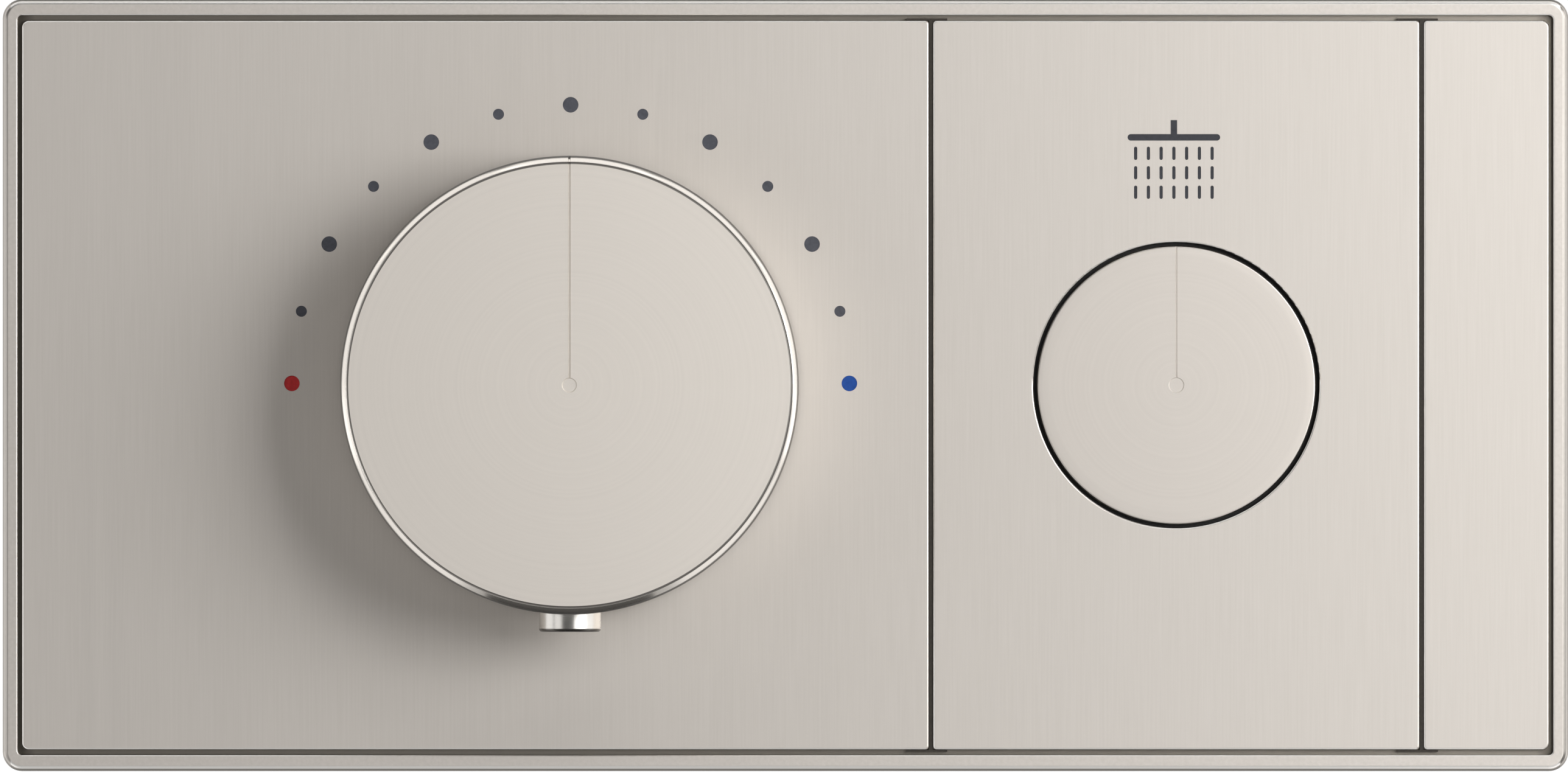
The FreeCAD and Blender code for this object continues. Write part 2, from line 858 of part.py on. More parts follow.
def regulator_nut():
    outer = rod(knob_x, 0, mixer_bore - nut_slack, regulator_front, regulator_back)
    reach = mixer_bore + key_height
    half = key_width / 2
    keys = block(knob_x - reach, knob_x + reach, regulator_front, regulator_back, -half, half)
    solid = joined([outer, keys])
    cavity_start = regulator_front + nut_thread_length
    solid = solid.cut(rod(knob_x, 0, thread_radius + running_fit, regulator_front, cavity_start))
    return solid.cut(rod(knob_x, 0, nut_cavity, cavity_start, regulator_back))


def overload_spring():
    outer = nut_cavity - part_gap
    start = regulator_front + nut_thread_length
    return tube(knob_x, 0, outer, outer - 2 * spring_wire, start, cap_front)


def spring_cap():
    return rod(knob_x, 0, nut_cavity - part_gap, cap_front, cap_back)


def cap_retainer():
    inner = nut_cavity - retainer_wall
    return tube(knob_x, 0, nut_cavity, inner, retainer_front, regulator_back)


def element_pin():
    head = rod(knob_x, 0, pin_head_radius, cap_back, cap_back + pin_head)
    shank = rod(knob_x, 0, pin_radius, cap_back + pin_head, cap_back + pin_length)
    return joined([head, shank])


def wax_element():
    flange_start = element_front + element_nose
    nose = rod(knob_x, 0, element_radius, element_front, flange_start)
    flange = rod(knob_x, 0, element_flange_radius, flange_start, element_seat)
    tail = rod(knob_x, 0, element_tail_radius, element_seat, element_front + element_length)
    solid = joined([nose, flange, tail])
    return solid.cut(rod(knob_x, 0, pin_radius + running_fit, element_front, element_front + pin_bore_depth))


def mixing_spool():
    outer = mixer_bore - running_fit
    inner = outer - spool_wall
    ring = tube(knob_x, 0, outer, inner, spool_front, spool_back)
    web = tube(knob_x, 0, inner, element_tail_radius + part_gap, element_seat, element_seat + spool_web)
    solid = joined([ring, web])
    circle = (element_flange_radius + inner) / 2
    for index in range(spool_port_count):
        angle = 2 * math.pi * index / spool_port_count
        x = knob_x + circle * math.cos(angle)
        port = rod(x, circle * math.sin(angle), spool_port_radius, element_seat, element_seat + spool_web)
        solid = solid.cut(port)
    return solid


def return_spring():
    inner = element_tail_radius + spring_wire
    start = element_seat + spool_web
    return tube(knob_x, 0, inner + 2 * spring_wire, inner, start, end_ring_front)


def thermostat_end_ring():
    return tube(knob_x, 0, mixer_bore, end_ring_hole, end_ring_front, cartridge_back)


def ears(x, z, radius):
    back = body_front + ear_length
    pieces = []
    for side in (-1, 1):
        boss = rod(x, side * z, ear_radius, body_front, back)
        low, high = sorted([side * z, side * radius / 2])
        pieces.append(joined([boss, block(x - ear_radius, x + ear_radius, body_front, back, low, high)]))
    return pieces


def valve_body(x, bore, wall, ear_z):
    outer = bore + mouth_step + wall
    barrel = rod(x, 0, outer, body_front, body_back)
    rear_edge = [edge for edge in barrel.Edges if abs(edge.BoundBox.YMin - body_back) < 1e-6]
    barrel = barrel.makeFillet(body_edge_radius, rear_edge)
    solid = joined([barrel] + ears(x, ear_z, outer))
    solid = solid.cut(rod(x, 0, bore + mouth_step, body_front, seat_front))
    solid = solid.cut(rod(x, 0, bore, seat_front, body_back - rear_wall))
    for side in (-1, 1):
        solid = solid.cut(rod(x, side * ear_z, ear_screw_radius, body_front, body_front + ear_length))
    return solid


thermostat_side = thermostat_bore + mouth_step + thermostat_body_wall
volume_side = volume_bore + mouth_step + volume_body_wall


def thermostat_body():
    solid = valve_body(knob_x, thermostat_bore, thermostat_body_wall, thermostat_ear_z)
    for y in (cold_port_y, hot_port_y):
        half = gallery_length / 2
        solid = solid.cut(rod(knob_x, 0, thermostat_bore + gallery_depth, y - half, y + half))
    reach = thermostat_side + 1
    gallery = thermostat_bore + gallery_depth
    solid = solid.cut(rod_x(cold_port_y, 0, branch_radius, knob_x + gallery, knob_x + reach))
    solid = solid.cut(rod_x(hot_port_y, 0, branch_radius, knob_x - reach, knob_x - gallery))
    start = knob_x + thermostat_bore - mouth_step
    return solid.cut(rod_x(crossover_y, 0, crossover_radius, start, knob_x + reach))


# Outlet button with its shut-off and volume cartridge
def outlet_button():
    back = front + button_depth
    solid = rod(button_x, 0, button_radius, front, back)
    solid = soften_front(solid, front, button_edge)
    solid = solid.cut(rod(button_x, 0, button_radius - button_wall, front + button_face, back))
    solid = solid.cut(pointer_cut(button_x, button_radius, front))
    return solid.cut(dimple_cut(button_x, front, button_dimple_radius))


def button_carrier():
    radius = button_radius - button_wall - part_gap
    disc = rod(button_x, 0, radius, carrier_front, carrier_back)
    boss = rod(button_x, 0, carrier_boss_radius, carrier_back, boss_back)
    bore = rod(button_x, 0, stem_radius, carrier_front, boss_back)
    return joined([disc, boss]).cut(bore)


def square_bar(x, side, start, end):
    half = side / 2
    return block(x - half, x + half, start, end, -half, half)


def button_stem():
    round_part = rod(button_x, 0, stem_radius, carrier_front, square_front)
    square_part = square_bar(button_x, stem_square, square_front, piston_front)
    return joined([round_part, square_part])


def shutoff_piston():
    solid = rod(button_x, 0, piston_radius, piston_front, piston_front + piston_length)
    return solid.cut(seal_groove(button_x, piston_radius, piston_front + piston_length / 2))


def piston_seal():
    return seal_ring(button_x, piston_radius, piston_front + piston_length / 2)


def button_spring():
    inner = stem_radius + spring_wire / 2
    return tube(button_x, 0, inner + spring_wire, inner, boss_back, neck_front)


def volume_sleeve():
    outer = sleeve_bore - running_fit
    inner = outer - sleeve_wall
    back = sleeve_front + sleeve_length
    wall = tube(button_x, 0, outer, inner, sleeve_front, back)
    web_front = sleeve_front + sleeve_web_setback
    web_back = web_front + sleeve_web
    web = rod(button_x, 0, outer, web_front, web_back)
    solid = joined([wall, web])
    solid = solid.cut(square_bar(button_x, stem_square + 2 * running_fit, web_front, web_back))
    # The window narrows round the sleeve, so a turn throttles the flow.
    start = sleeve_front + sleeve_window_setback
    end = start + sleeve_window
    points = [
        FreeCAD.Vector(button_x - outer, start, 0),
        FreeCAD.Vector(button_x + outer, (start + end) / 2, 0),
        FreeCAD.Vector(button_x - outer, end, 0),
        FreeCAD.Vector(button_x - outer, start, 0),
    ]
    wedge = Part.Face(Part.makePolygon(points)).extrude(FreeCAD.Vector(0, 0, 2 * outer))
    return solid.cut(wedge)


def volume_housing():
    neck = rod(button_x, 0, volume_neck, neck_front, flange_front)
    flange = rod(button_x, 0, volume_bore + flange_step, flange_front, seat_front)
    barrel = rod(button_x, 0, volume_outer, seat_front, cartridge_back)
    solid = joined([neck, flange, barrel])
    solid = solid.cut(rod(button_x, 0, stem_radius + running_fit, neck_front, mixer_front))
    solid = solid.cut(shaft_groove(button_x, stem_radius, stem_seal_y))
    seat = cavity_front + seat_setback
    solid = solid.cut(rod(button_x, 0, sleeve_bore, mixer_front, seat))
    solid = solid.cut(rod(button_x, 0, seat_radius, seat, cartridge_back))
    half = sleeve_window / 2
    window = block(
        button_x - port_width / 2,
        button_x + port_width / 2,
        outlet_y - half,
        outlet_y + half,
        0,
        volume_bore + mouth_step,
    )
    solid = solid.cut(window)
    for y in volume_seals:
        solid = solid.cut(seal_groove(button_x, volume_outer, y))
    return solid


def volume_body():
    solid = valve_body(button_x, volume_bore, volume_body_wall, volume_ear_z)
    reach = volume_side + 1
    start = volume_bore - mouth_step
    solid = solid.cut(rod_z(button_x, outlet_y, branch_radius, start, reach))
    return solid.cut(rod_x(crossover_y, 0, crossover_radius, button_x - reach, button_x - start))


# Water ways
def crossover_tube():
    start = knob_x + thermostat_bore
    end = button_x - volume_bore
    outer = rod_x(crossover_y, 0, crossover_radius, start, end)
    return outer.cut(rod_x(crossover_y, 0, crossover_bore, start, end))


def inlet_leg(leg_x, y, mouth_x):
    # A branch from the thermostat body, turned down into the wider leg of the check valve.
    low, high = sorted([leg_x, mouth_x])
    branch = rod_x(y, 0, branch_radius, low, high)
    leg = rod_z(leg_x, y, leg_radius, -leg_length, branch_radius)
    solid = joined([branch, leg])
    solid = solid.cut(rod_x(y, 0, branch_bore, low, high))
    solid = solid.cut(rod_z(leg_x, y, branch_bore, -leg_length, 0))
    return solid.cut(rod_z(leg_x, y, leg_bore, -leg_length, -leg_shoulder))


def hot_leg():
    return inlet_leg(hot_leg_x, hot_port_y, knob_x - thermostat_bore - gallery_depth)


def cold_leg():
    return inlet_leg(cold_leg_x, cold_port_y, knob_x + thermostat_bore + gallery_depth)


def outlet_leg():
    lower = tube_z(button_x, outlet_y, branch_radius, branch_bore, volume_bore, volume_side)
    upper = tube_z(button_x, outlet_y, leg_radius, branch_bore, volume_side, outlet_length)
    return joined([lower, upper])


def pipe_adapter(x, y, leg_end, way):
    # A brass end that screws over the leg and takes a soldered copper tube.
    lap_end = leg_end - way * adapter_lap
    far_end = lap_end + way * adapter_length
    socket_end = far_end - way * tube_socket_depth
    hex_end = lap_end + way * adapter_hex_length
    points = []
    for side in range(7):
        turn = math.radians(60 * side)
        corner_x = x + adapter_radius * math.cos(turn)
        points.append(FreeCAD.Vector(corner_x, y + adapter_radius * math.sin(turn), lap_end))
    spanner_hex = Part.Face(Part.makePolygon(points)).extrude(FreeCAD.Vector(0, 0, hex_end - lap_end))
    spigot_radius = adapter_radius - adapter_step
    spigot = rod_z(x, y, spigot_radius, min(hex_end, far_end), max(hex_end, far_end))
    outer = joined([spanner_hex, spigot])
    thread = rod_z(x, y, leg_radius, min(lap_end, leg_end), max(lap_end, leg_end))
    stop = rod_z(x, y, tube_stop_radius, min(leg_end, socket_end), max(leg_end, socket_end))
    socket = rod_z(x, y, tube_socket_radius, min(socket_end, far_end), max(socket_end, far_end))
    return outer.cut(thread).cut(stop).cut(socket)


def pipe_adapters():
    return [
        pipe_adapter(hot_leg_x, hot_port_y, -leg_length, -1),
        pipe_adapter(cold_leg_x, cold_port_y, -leg_length, -1),
        pipe_adapter(button_x, outlet_y, outlet_length, 1),
    ]


inlet_places = [(hot_leg_x, hot_port_y), (cold_leg_x, cold_port_y)]
check_top = -leg_shoulder
check_low = check_top - check_length
poppet_seat = check_low + check_seat
spider_top = check_top - check_spider_setback
spider_low = spider_top - check_spider


def check_housing(x, y):
    outer = leg_bore - part_gap / 2
    inner = outer - check_wall
    solid = rod_z(x, y, outer, check_low, check_top)
    solid = solid.cut(rod_z(x, y, check_seat_radius, check_low, poppet_seat))
    solid = solid.cut(rod_z(x, y, inner, poppet_seat, spider_low))
    solid = solid.cut(rod_z(x, y, inner, spider_top, check_top))
    solid = solid.cut(rod_z(x, y, poppet_stem_radius + running_fit, spider_low, spider_top))
    for index in range(check_port_count):
        angle = 2 * math.pi * index / check_port_count
        port_x = x + check_port_circle * math.cos(angle)
        port_y = y + check_port_circle * math.sin(angle)
        solid = solid.cut(rod_z(port_x, port_y, check_port_radius, spider_low, spider_top))
    return solid


def check_poppet(x, y):
    disc = rod_z(x, y, poppet_radius, poppet_seat, poppet_seat + poppet_thickness)
    stem = rod_z(x, y, poppet_stem_radius, poppet_seat + poppet_thickness, spider_top)
    return joined([disc, stem])


def check_spring(x, y):
    outer = check_spring_radius
    return tube_z(x, y, outer, outer - check_spring_wire, poppet_seat + poppet_thickness, spider_low)


def inlet_screen(x, y):
    outer = leg_bore - part_gap / 2
    cup = rod_z(x, y, outer, -leg_length, check_low)
    return cup.cut(rod_z(x, y, outer - screen_wall, -leg_length, check_low - screen_wall))


save("trim_frame", trim_frame())
save("thermostat_plate", thermostat_plate())
save("button_plate", button_plate())
save("blank_plate", blank_plate())
save("plate_dividers", [divider(first_joint_x), divider(second_joint_x)])
marks = scale_marks()
save("scale_dots", [mark_fill(*mark) for mark in marks[1:-1]])
save("cold_dot", mark_fill(*marks[0]))
save("hot_dot", mark_fill(*marks[-1]))
save("shower_sign", sign_strokes(front + mark_drop, front + mark_depth, mark_clearance))
save("wall_gasket", wall_gasket())
save("trim_chassis", trim_chassis())
save("frame_screws", frame_screws())
save("trim_screws", trim_screws())
save("trim_standoffs", trim_standoffs())
save("mounting_bracket", mounting_bracket())
save("bracket_screws", bracket_screws())
save("stop_collar", stop_collar())
save("temperature_knob", temperature_knob())
save("knob_insert", knob_insert())
save("insert_screws", insert_screws())
save("override_button", override_button())
save("override_spring", override_spring())
save("thermostat_housing", thermostat_housing())
save("thermostat_spindle", thermostat_spindle())
save("spindle_seal", shaft_ring(knob_x, spindle_radius, stem_seal_y))
save("regulator_nut", regulator_nut())
save("overload_spring", overload_spring())
save("spring_cap", spring_cap())
save("cap_retainer", cap_retainer())
save("element_pin", element_pin())
save("wax_element", wax_element())
save("mixing_spool", mixing_spool())
save("return_spring", return_spring())
save("thermostat_end_ring", thermostat_end_ring())
save("thermostat_seals", [seal_ring(knob_x, thermostat_outer, y) for y in thermostat_seals])
save("thermostat_nut", valve_nut(knob_x, thermostat_bore, thermostat_neck))
save("thermostat_body", thermostat_body())
save("outlet_button", outlet_button())
save("button_carrier", button_carrier())
save("button_stem", button_stem())
save("stem_seal", shaft_ring(button_x, stem_radius, stem_seal_y))
save("shutoff_piston", shutoff_piston())
save("piston_seal", piston_seal())
save("button_spring", button_spring())
save("volume_sleeve", volume_sleeve())
save("volume_housing", volume_housing())
save("volume_seals", [seal_ring(button_x, volume_outer, y) for y in volume_seals])
save("volume_nut", valve_nut(button_x, volume_bore, volume_neck))
save("volume_body", volume_body())
save("crossover_tube", crossover_tube())
save("hot_leg", hot_leg())
save("cold_leg", cold_leg())
save("outlet_leg", outlet_leg())
save("pipe_adapters", pipe_adapters())
save("check_housings", [check_housing(x, y) for x, y in inlet_places])
save("hot_check_poppet", check_poppet(hot_leg_x, hot_port_y))
save("cold_check_poppet", check_poppet(cold_leg_x, cold_port_y))
save("hot_check_spring", check_spring(hot_leg_x, hot_port_y))
save("cold_check_spring", check_spring(cold_leg_x, cold_port_y))
save("inlet_screens", [inlet_screen(x, y) for x, y in inlet_places])
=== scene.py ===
import math

import bmesh
import bpy
from mathutils import Matrix, Vector


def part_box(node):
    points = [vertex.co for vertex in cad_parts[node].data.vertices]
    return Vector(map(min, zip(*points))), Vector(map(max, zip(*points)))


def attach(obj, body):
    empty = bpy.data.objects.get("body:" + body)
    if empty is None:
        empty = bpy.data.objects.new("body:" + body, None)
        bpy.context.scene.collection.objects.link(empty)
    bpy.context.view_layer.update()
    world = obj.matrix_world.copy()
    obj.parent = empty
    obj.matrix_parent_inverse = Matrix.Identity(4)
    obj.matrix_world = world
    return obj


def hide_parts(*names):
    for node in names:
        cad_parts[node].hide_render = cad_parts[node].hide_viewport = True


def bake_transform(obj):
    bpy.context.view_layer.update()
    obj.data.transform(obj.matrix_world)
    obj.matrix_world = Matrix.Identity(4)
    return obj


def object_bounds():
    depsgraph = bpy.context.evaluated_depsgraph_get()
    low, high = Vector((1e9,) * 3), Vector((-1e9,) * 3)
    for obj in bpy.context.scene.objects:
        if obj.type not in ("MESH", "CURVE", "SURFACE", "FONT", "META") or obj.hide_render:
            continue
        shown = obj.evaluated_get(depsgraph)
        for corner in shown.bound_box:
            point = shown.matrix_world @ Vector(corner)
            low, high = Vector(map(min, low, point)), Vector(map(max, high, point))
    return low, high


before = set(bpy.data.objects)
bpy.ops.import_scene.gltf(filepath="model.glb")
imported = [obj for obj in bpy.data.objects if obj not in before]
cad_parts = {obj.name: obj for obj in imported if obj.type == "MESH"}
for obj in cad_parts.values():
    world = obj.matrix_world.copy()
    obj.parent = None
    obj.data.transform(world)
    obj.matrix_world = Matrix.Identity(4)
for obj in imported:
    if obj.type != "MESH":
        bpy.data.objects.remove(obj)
cad_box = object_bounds()

# Viewpoint: straight on to the panel from far away, so that the panel fills the picture
# from edge to edge and the sides of the knob stay out of sight.
mm = 0.001
view_width = 240.3 * mm
view_centre = (-0.23 * mm, -0.13 * mm)
camera_distance = 5.0
film_width = 36.0
panel_low, panel_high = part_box("trim_frame")
panel_front = panel_low.y
lens = bpy.data.cameras.new("photo_camera")
lens.sensor_width = film_width
lens.lens = film_width * camera_distance / view_width
lens.clip_end = 4 * camera_distance
camera = bpy.data.objects.new("photo_camera", lens)
camera.location = (view_centre[0], panel_front - camera_distance, view_centre[1])
quarter_turn = math.radians(90)
camera.rotation_euler = (quarter_turn, 0, 0)
bpy.context.scene.collection.objects.link(camera)
bpy.context.scene.camera = camera
bpy.context.scene.view_settings.view_transform = "Standard"


# Studio boards: a wide floor, a white board behind it, two white cards on the floor and a
# small black flag under the knob. The cards glow though they are no lamps and the flag is
# dark card; neither shows to the camera, so both are painted reflections in the knob's edge.
def board(name, width, length, turn, place, grey):
    sheet = bmesh.new()
    bmesh.ops.create_grid(sheet, x_segments=1, y_segments=1, size=1.0)
    bmesh.ops.scale(sheet, verts=sheet.verts, vec=(width / 2, length / 2, 1))
    bmesh.ops.rotate(sheet, verts=sheet.verts, matrix=Matrix.Rotation(turn, 3, "X"))
    bmesh.ops.translate(sheet, verts=sheet.verts, vec=place)
    mesh = bpy.data.meshes.new(name)
    sheet.to_mesh(mesh)
    sheet.free()
    piece = bpy.data.objects.new(name, mesh)
    bpy.context.scene.collection.objects.link(piece)
    paint = bpy.data.materials.new(name + "_board")
    paint.use_nodes = True
    shader = paint.node_tree.nodes["Principled BSDF"]
    shader.inputs["Base Color"].default_value = (grey, grey, grey, 1)
    shader.inputs["Roughness"].default_value = 0.9
    mesh.materials.append(paint)
    return piece


def glow_when_seen(piece, front_level, rear_level):
    # Pale where the camera or a shiny surface sees the board, from one level at the front
    # to another at the rear. A board that is seen from its own back is clear.
    front_y = -0.4
    rear_y = 0.8
    tree = piece.data.materials[0].node_tree
    shader = tree.nodes["Principled BSDF"]
    output = tree.nodes["Material Output"]
    path = tree.nodes.new("ShaderNodeLightPath")
    seen = path.outputs["Is Camera Ray"]
    for ray in ("Is Glossy Ray", "Is Transmission Ray"):
        either = tree.nodes.new("ShaderNodeMath")
        either.operation = "MAXIMUM"
        tree.links.new(seen, either.inputs[0])
        tree.links.new(path.outputs[ray], either.inputs[1])
        seen = either.outputs[0]
    place = tree.nodes.new("ShaderNodeTexCoord")
    axes = tree.nodes.new("ShaderNodeSeparateXYZ")
    tree.links.new(place.outputs["Object"], axes.inputs["Vector"])
    level = tree.nodes.new("ShaderNodeMapRange")
    level.inputs["From Min"].default_value = front_y
    level.inputs["From Max"].default_value = rear_y
    level.inputs["To Min"].default_value = front_level
    level.inputs["To Max"].default_value = rear_level
    tree.links.new(axes.outputs["Y"], level.inputs["Value"])
    strength = tree.nodes.new("ShaderNodeMath")
    strength.operation = "MULTIPLY"
    tree.links.new(level.outputs["Result"], strength.inputs[0])
    tree.links.new(seen, strength.inputs[1])
    glow = tree.nodes.new("ShaderNodeEmission")
    tree.links.new(strength.outputs[0], glow.inputs["Strength"])
    lit = tree.nodes.new("ShaderNodeAddShader")
    tree.links.new(shader.outputs["BSDF"], lit.inputs[0])
    tree.links.new(glow.outputs["Emission"], lit.inputs[1])
    side = tree.nodes.new("ShaderNodeNewGeometry")
    clear = tree.nodes.new("ShaderNodeBsdfTransparent")
    sided = tree.nodes.new("ShaderNodeMixShader")
    tree.links.new(side.outputs["Backfacing"], sided.inputs["Fac"])
    tree.links.new(lit.outputs["Shader"], sided.inputs[1])
    tree.links.new(clear.outputs["BSDF"], sided.inputs[2])
    tree.links.new(sided.outputs["Shader"], output.inputs["Surface"])


floor_drop = 0.24
floor_size = 12.0
floor_grey = 0.12
floor_z = cad_box[0].z - floor_drop
floor = board("floor", floor_size, floor_size, 0, (0, 0, floor_z), floor_grey)
glow_when_seen(floor, front_level=0.32, rear_level=0.72)
board_grey = 0.1
backdrop_width = 2.4
backdrop_height = 1.2
backdrop_gap = 0.4
backdrop_middle = (0, cad_box[1].y + backdrop_gap, floor_z + backdrop_height / 2)
backdrop = board("backdrop", backdrop_width, backdrop_height, quarter_turn, backdrop_middle, board_grey)
glow_when_seen(backdrop, front_level=1.0, rear_level=1.0)
knob_low, knob_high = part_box("temperature_knob")
knob_middle = (knob_low + knob_high) / 2
card_width = 0.6
card_length = 0.28
card_gap = 0.15
card_lift = 0.02
# White cards: glowing board that the camera never sees, a painted reflection of light in the knob's
# polished edge.
for side in (-1, 1):
    card_x = knob_middle.x + side * (card_gap + card_width / 2)
    card_middle = (card_x, -card_length / 2, floor_z + card_lift)
    card = board("white_card", card_width, card_length, 0, card_middle, board_grey)
    glow_when_seen(card, front_level=1.0, rear_level=1.0)
    card.visible_camera = False
    card.visible_shadow = False
# Black flag: dark card that only shiny surfaces see, a painted dark reflection under the knob's edge.
flag_width = 0.036
flag_length = 0.016
flag_drop = 0.01
flag_middle = (knob_middle.x, knob_low.y, knob_low.z - flag_drop)
flag = board("black_flag", flag_width, flag_length, 0, flag_middle, board_grey)
flag.visible_camera = False
flag.visible_diffuse = False
flag.visible_shadow = False


# Studio lamps: a soft box at the upper right shades the plates sideways and throws the
# knob's shadow. Strips draw the lines on the long edges, a half ring of boxes beside and
# above the panel lights the knob's rounded edge, and one box behind lights the valve.
def soft_box(name, place, aim, width, height, power):
    lamp = bpy.data.lights.new(name, "AREA")
    lamp.shape = "RECTANGLE"
    lamp.size = width
    lamp.size_y = height
    lamp.energy = power
    box = bpy.data.objects.new(name, lamp)
    box.location = place
    box.rotation_euler = (Vector(aim) - Vector(place)).to_track_quat("-Z", "Y").to_euler()
    bpy.context.scene.collection.objects.link(box)


panel_middle = (0, 0, 0)
soft_box("key_box", (0.58, -0.72, 0.17), panel_middle, width=0.8, height=0.4, power=6.45)
soft_box("top_strip", (0, -0.65, 0.6), panel_middle, width=1.2, height=0.1, power=0.65)
soft_box("floor_strip", (0, -0.35, -0.28), panel_middle, width=1.2, height=0.08, power=0.06)
lamp_reach = 0.9
low_turn = math.radians(45)
low_z = -0.03
low_power = 0.35
low_lean = 0.1
for side in (-1, 1):
    place = (side * lamp_reach * math.sin(low_turn), -lamp_reach * math.cos(low_turn), low_z)
    power = low_power - side * low_lean
    soft_box("low_strip", place, (0, 0, low_z), width=0.45, height=0.25, power=power)
halo_count = 7
halo_start = -20
halo_sweep = 220
halo_forward = 0.12
halo_top_forward = 0.1
halo_power = 1.45
halo_top_loss = 0.1
halo_left_loss = 0.2
for number in range(halo_count):
    turn = math.radians(halo_start + halo_sweep * number / (halo_count - 1))
    upward = max(0, math.sin(turn))
    leftward = max(0, -math.cos(turn))
    forward = halo_forward + halo_top_forward * upward
    place = (lamp_reach * math.cos(turn), -forward, lamp_reach * math.sin(turn))
    power = halo_power - halo_top_loss * upward - halo_left_loss * leftward
    soft_box("halo_box", place, panel_middle, width=0.6, height=0.6, power=power)
soft_box("rear_box", (-0.5, 0.9, 0.7), (0, 0.04, 0), width=0.8, height=0.8, power=7)
world_light = 0.04
world = bpy.data.worlds.new("studio")
world.use_nodes = True
world.node_tree.nodes["Background"].inputs["Color"].default_value = (1, 1, 1, 1)
world.node_tree.nodes["Background"].inputs["Strength"].default_value = world_light
bpy.context.scene.world = world


# Mounting bracket, standoffs and trim chassis: steel sheet and bar, zinc plated, which
# hold the valve in the wall and the panel on the valve. Plating dries in faint clouds.
def finish(name, color, metallic, roughness):
    material = bpy.data.materials.new(name)
    material.use_nodes = True
    shader = material.node_tree.nodes["Principled BSDF"]
    shader.inputs["Base Color"].default_value = (*color, 1)
    shader.inputs["Metallic"].default_value = metallic
    shader.inputs["Roughness"].default_value = roughness
    return material


def own_place(material, stretch=(1, 1, 1), middle=(0, 0, 0)):
    # The piece's own coordinates, measured from a middle point and stretched.
    place = material.node_tree.nodes.new("ShaderNodeTexCoord")
    mapping = material.node_tree.nodes.new("ShaderNodeMapping")
    mapping.inputs["Location"].default_value = [-m * s for m, s in zip(middle, stretch)]
    mapping.inputs["Scale"].default_value = stretch
    material.node_tree.links.new(place.outputs["Object"], mapping.inputs["Vector"])
    return mapping.outputs["Vector"]


def span(material, value, low, high, first=0.0, last=1.0):
    # Value from low to high becomes first to last, and stays there beyond.
    scale = material.node_tree.nodes.new("ShaderNodeMapRange")
    scale.inputs["From Min"].default_value = low
    scale.inputs["From Max"].default_value = high
    scale.inputs["To Min"].default_value = first
    scale.inputs["To Max"].default_value = last
    material.node_tree.links.new(value, scale.inputs["Value"])
    return scale.outputs["Result"]


def grain(material, place, per_metre, detail=3.0):
    # Uneven patches from 0 to 1, so many to the metre.
    noise = material.node_tree.nodes.new("ShaderNodeTexNoise")
    noise.inputs["Scale"].default_value = per_metre
    noise.inputs["Detail"].default_value = detail
    material.node_tree.links.new(place, noise.inputs["Vector"])
    return span(material, noise.outputs["Fac"], 0.3, 0.7)


def mixed(material, share, first, last):
    # A colour from the first, where the share is 0, to the last, where it is 1. The node
    # keeps its colours in the sockets after those for numbers and directions.
    first_color, last_color, mixed_color = 6, 7, 2
    blend = material.node_tree.nodes.new("ShaderNodeMix")
    blend.data_type = "RGBA"
    material.node_tree.links.new(share, blend.inputs["Factor"])
    for socket, color in ((first_color, first), (last_color, last)):
        if isinstance(color, bpy.types.NodeSocket):
            material.node_tree.links.new(color, blend.inputs[socket])
        else:
            blend.inputs[socket].default_value = (*color, 1)
    return blend.outputs[mixed_color]


def feed(material, socket, value):
    shader = material.node_tree.nodes["Principled BSDF"]
    material.node_tree.links.new(value, shader.inputs[socket])


def relief(material, height, depth):
    # Fine relief of the surface, so deep where the height goes from 1 to 0.
    bump = material.node_tree.nodes.new("ShaderNodeBump")
    bump.inputs["Strength"].default_value = 1.0
    bump.inputs["Distance"].default_value = depth
    material.node_tree.links.new(height, bump.inputs["Height"])
    feed(material, "Normal", bump.outputs["Normal"])


def dress(material, *names):
    for name in names:
        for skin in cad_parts[name].material_slots:
            skin.material = material


zinc = finish("zinc_plate", (0.6, 0.61, 0.62), 1.0, 0.35)
zinc_clouds = grain(zinc, own_place(zinc), 160)
zinc_fine = grain(zinc, own_place(zinc), 2600)
feed(zinc, "Base Color", mixed(zinc, zinc_clouds, (0.5, 0.52, 0.55), (0.68, 0.68, 0.67)))
feed(zinc, "Roughness", span(zinc, zinc_clouds, 0, 1, 0.28, 0.46))
relief(zinc, zinc_fine, 0.006 * mm)
dress(zinc, "mounting_bracket", "trim_standoffs", "trim_chassis")


# Screws, pin and strainers: stainless steel, cold headed or drawn, and left bright.
# The driving faces carry fine drawing lines.
steel = finish("bright_steel", (0.58, 0.57, 0.56), 1.0, 0.28)
steel_lines = grain(steel, own_place(steel, (1, 0.2, 1)), 2200)
feed(steel, "Base Color", mixed(steel, steel_lines, (0.5, 0.49, 0.48), (0.64, 0.63, 0.62)))
feed(steel, "Roughness", span(steel, steel_lines, 0, 1, 0.22, 0.36))
relief(steel, steel_lines, 0.004 * mm)
dress(steel, "bracket_screws", "frame_screws", "trim_screws", "insert_screws")
dress(steel, "element_pin", "inlet_screens")


# Valve bodies: brass sand castings screwed to the bracket, bored from the front for the
# two cartridges. The skin is matt and slightly pitted from the mould.
cast_brass = finish("cast_brass", (0.66, 0.47, 0.2), 1.0, 0.42)
cast_clouds = grain(cast_brass, own_place(cast_brass), 90)
cast_pits = grain(cast_brass, own_place(cast_brass), 1100, 6.0)
cast_color = mixed(cast_brass, cast_clouds, (0.56, 0.38, 0.15), (0.72, 0.53, 0.25))
feed(cast_brass, "Base Color", cast_color)
feed(cast_brass, "Roughness", span(cast_brass, cast_pits, 0, 1, 0.34, 0.52))
relief(cast_brass, cast_pits, 0.06 * mm)
dress(cast_brass, "thermostat_body", "volume_body")


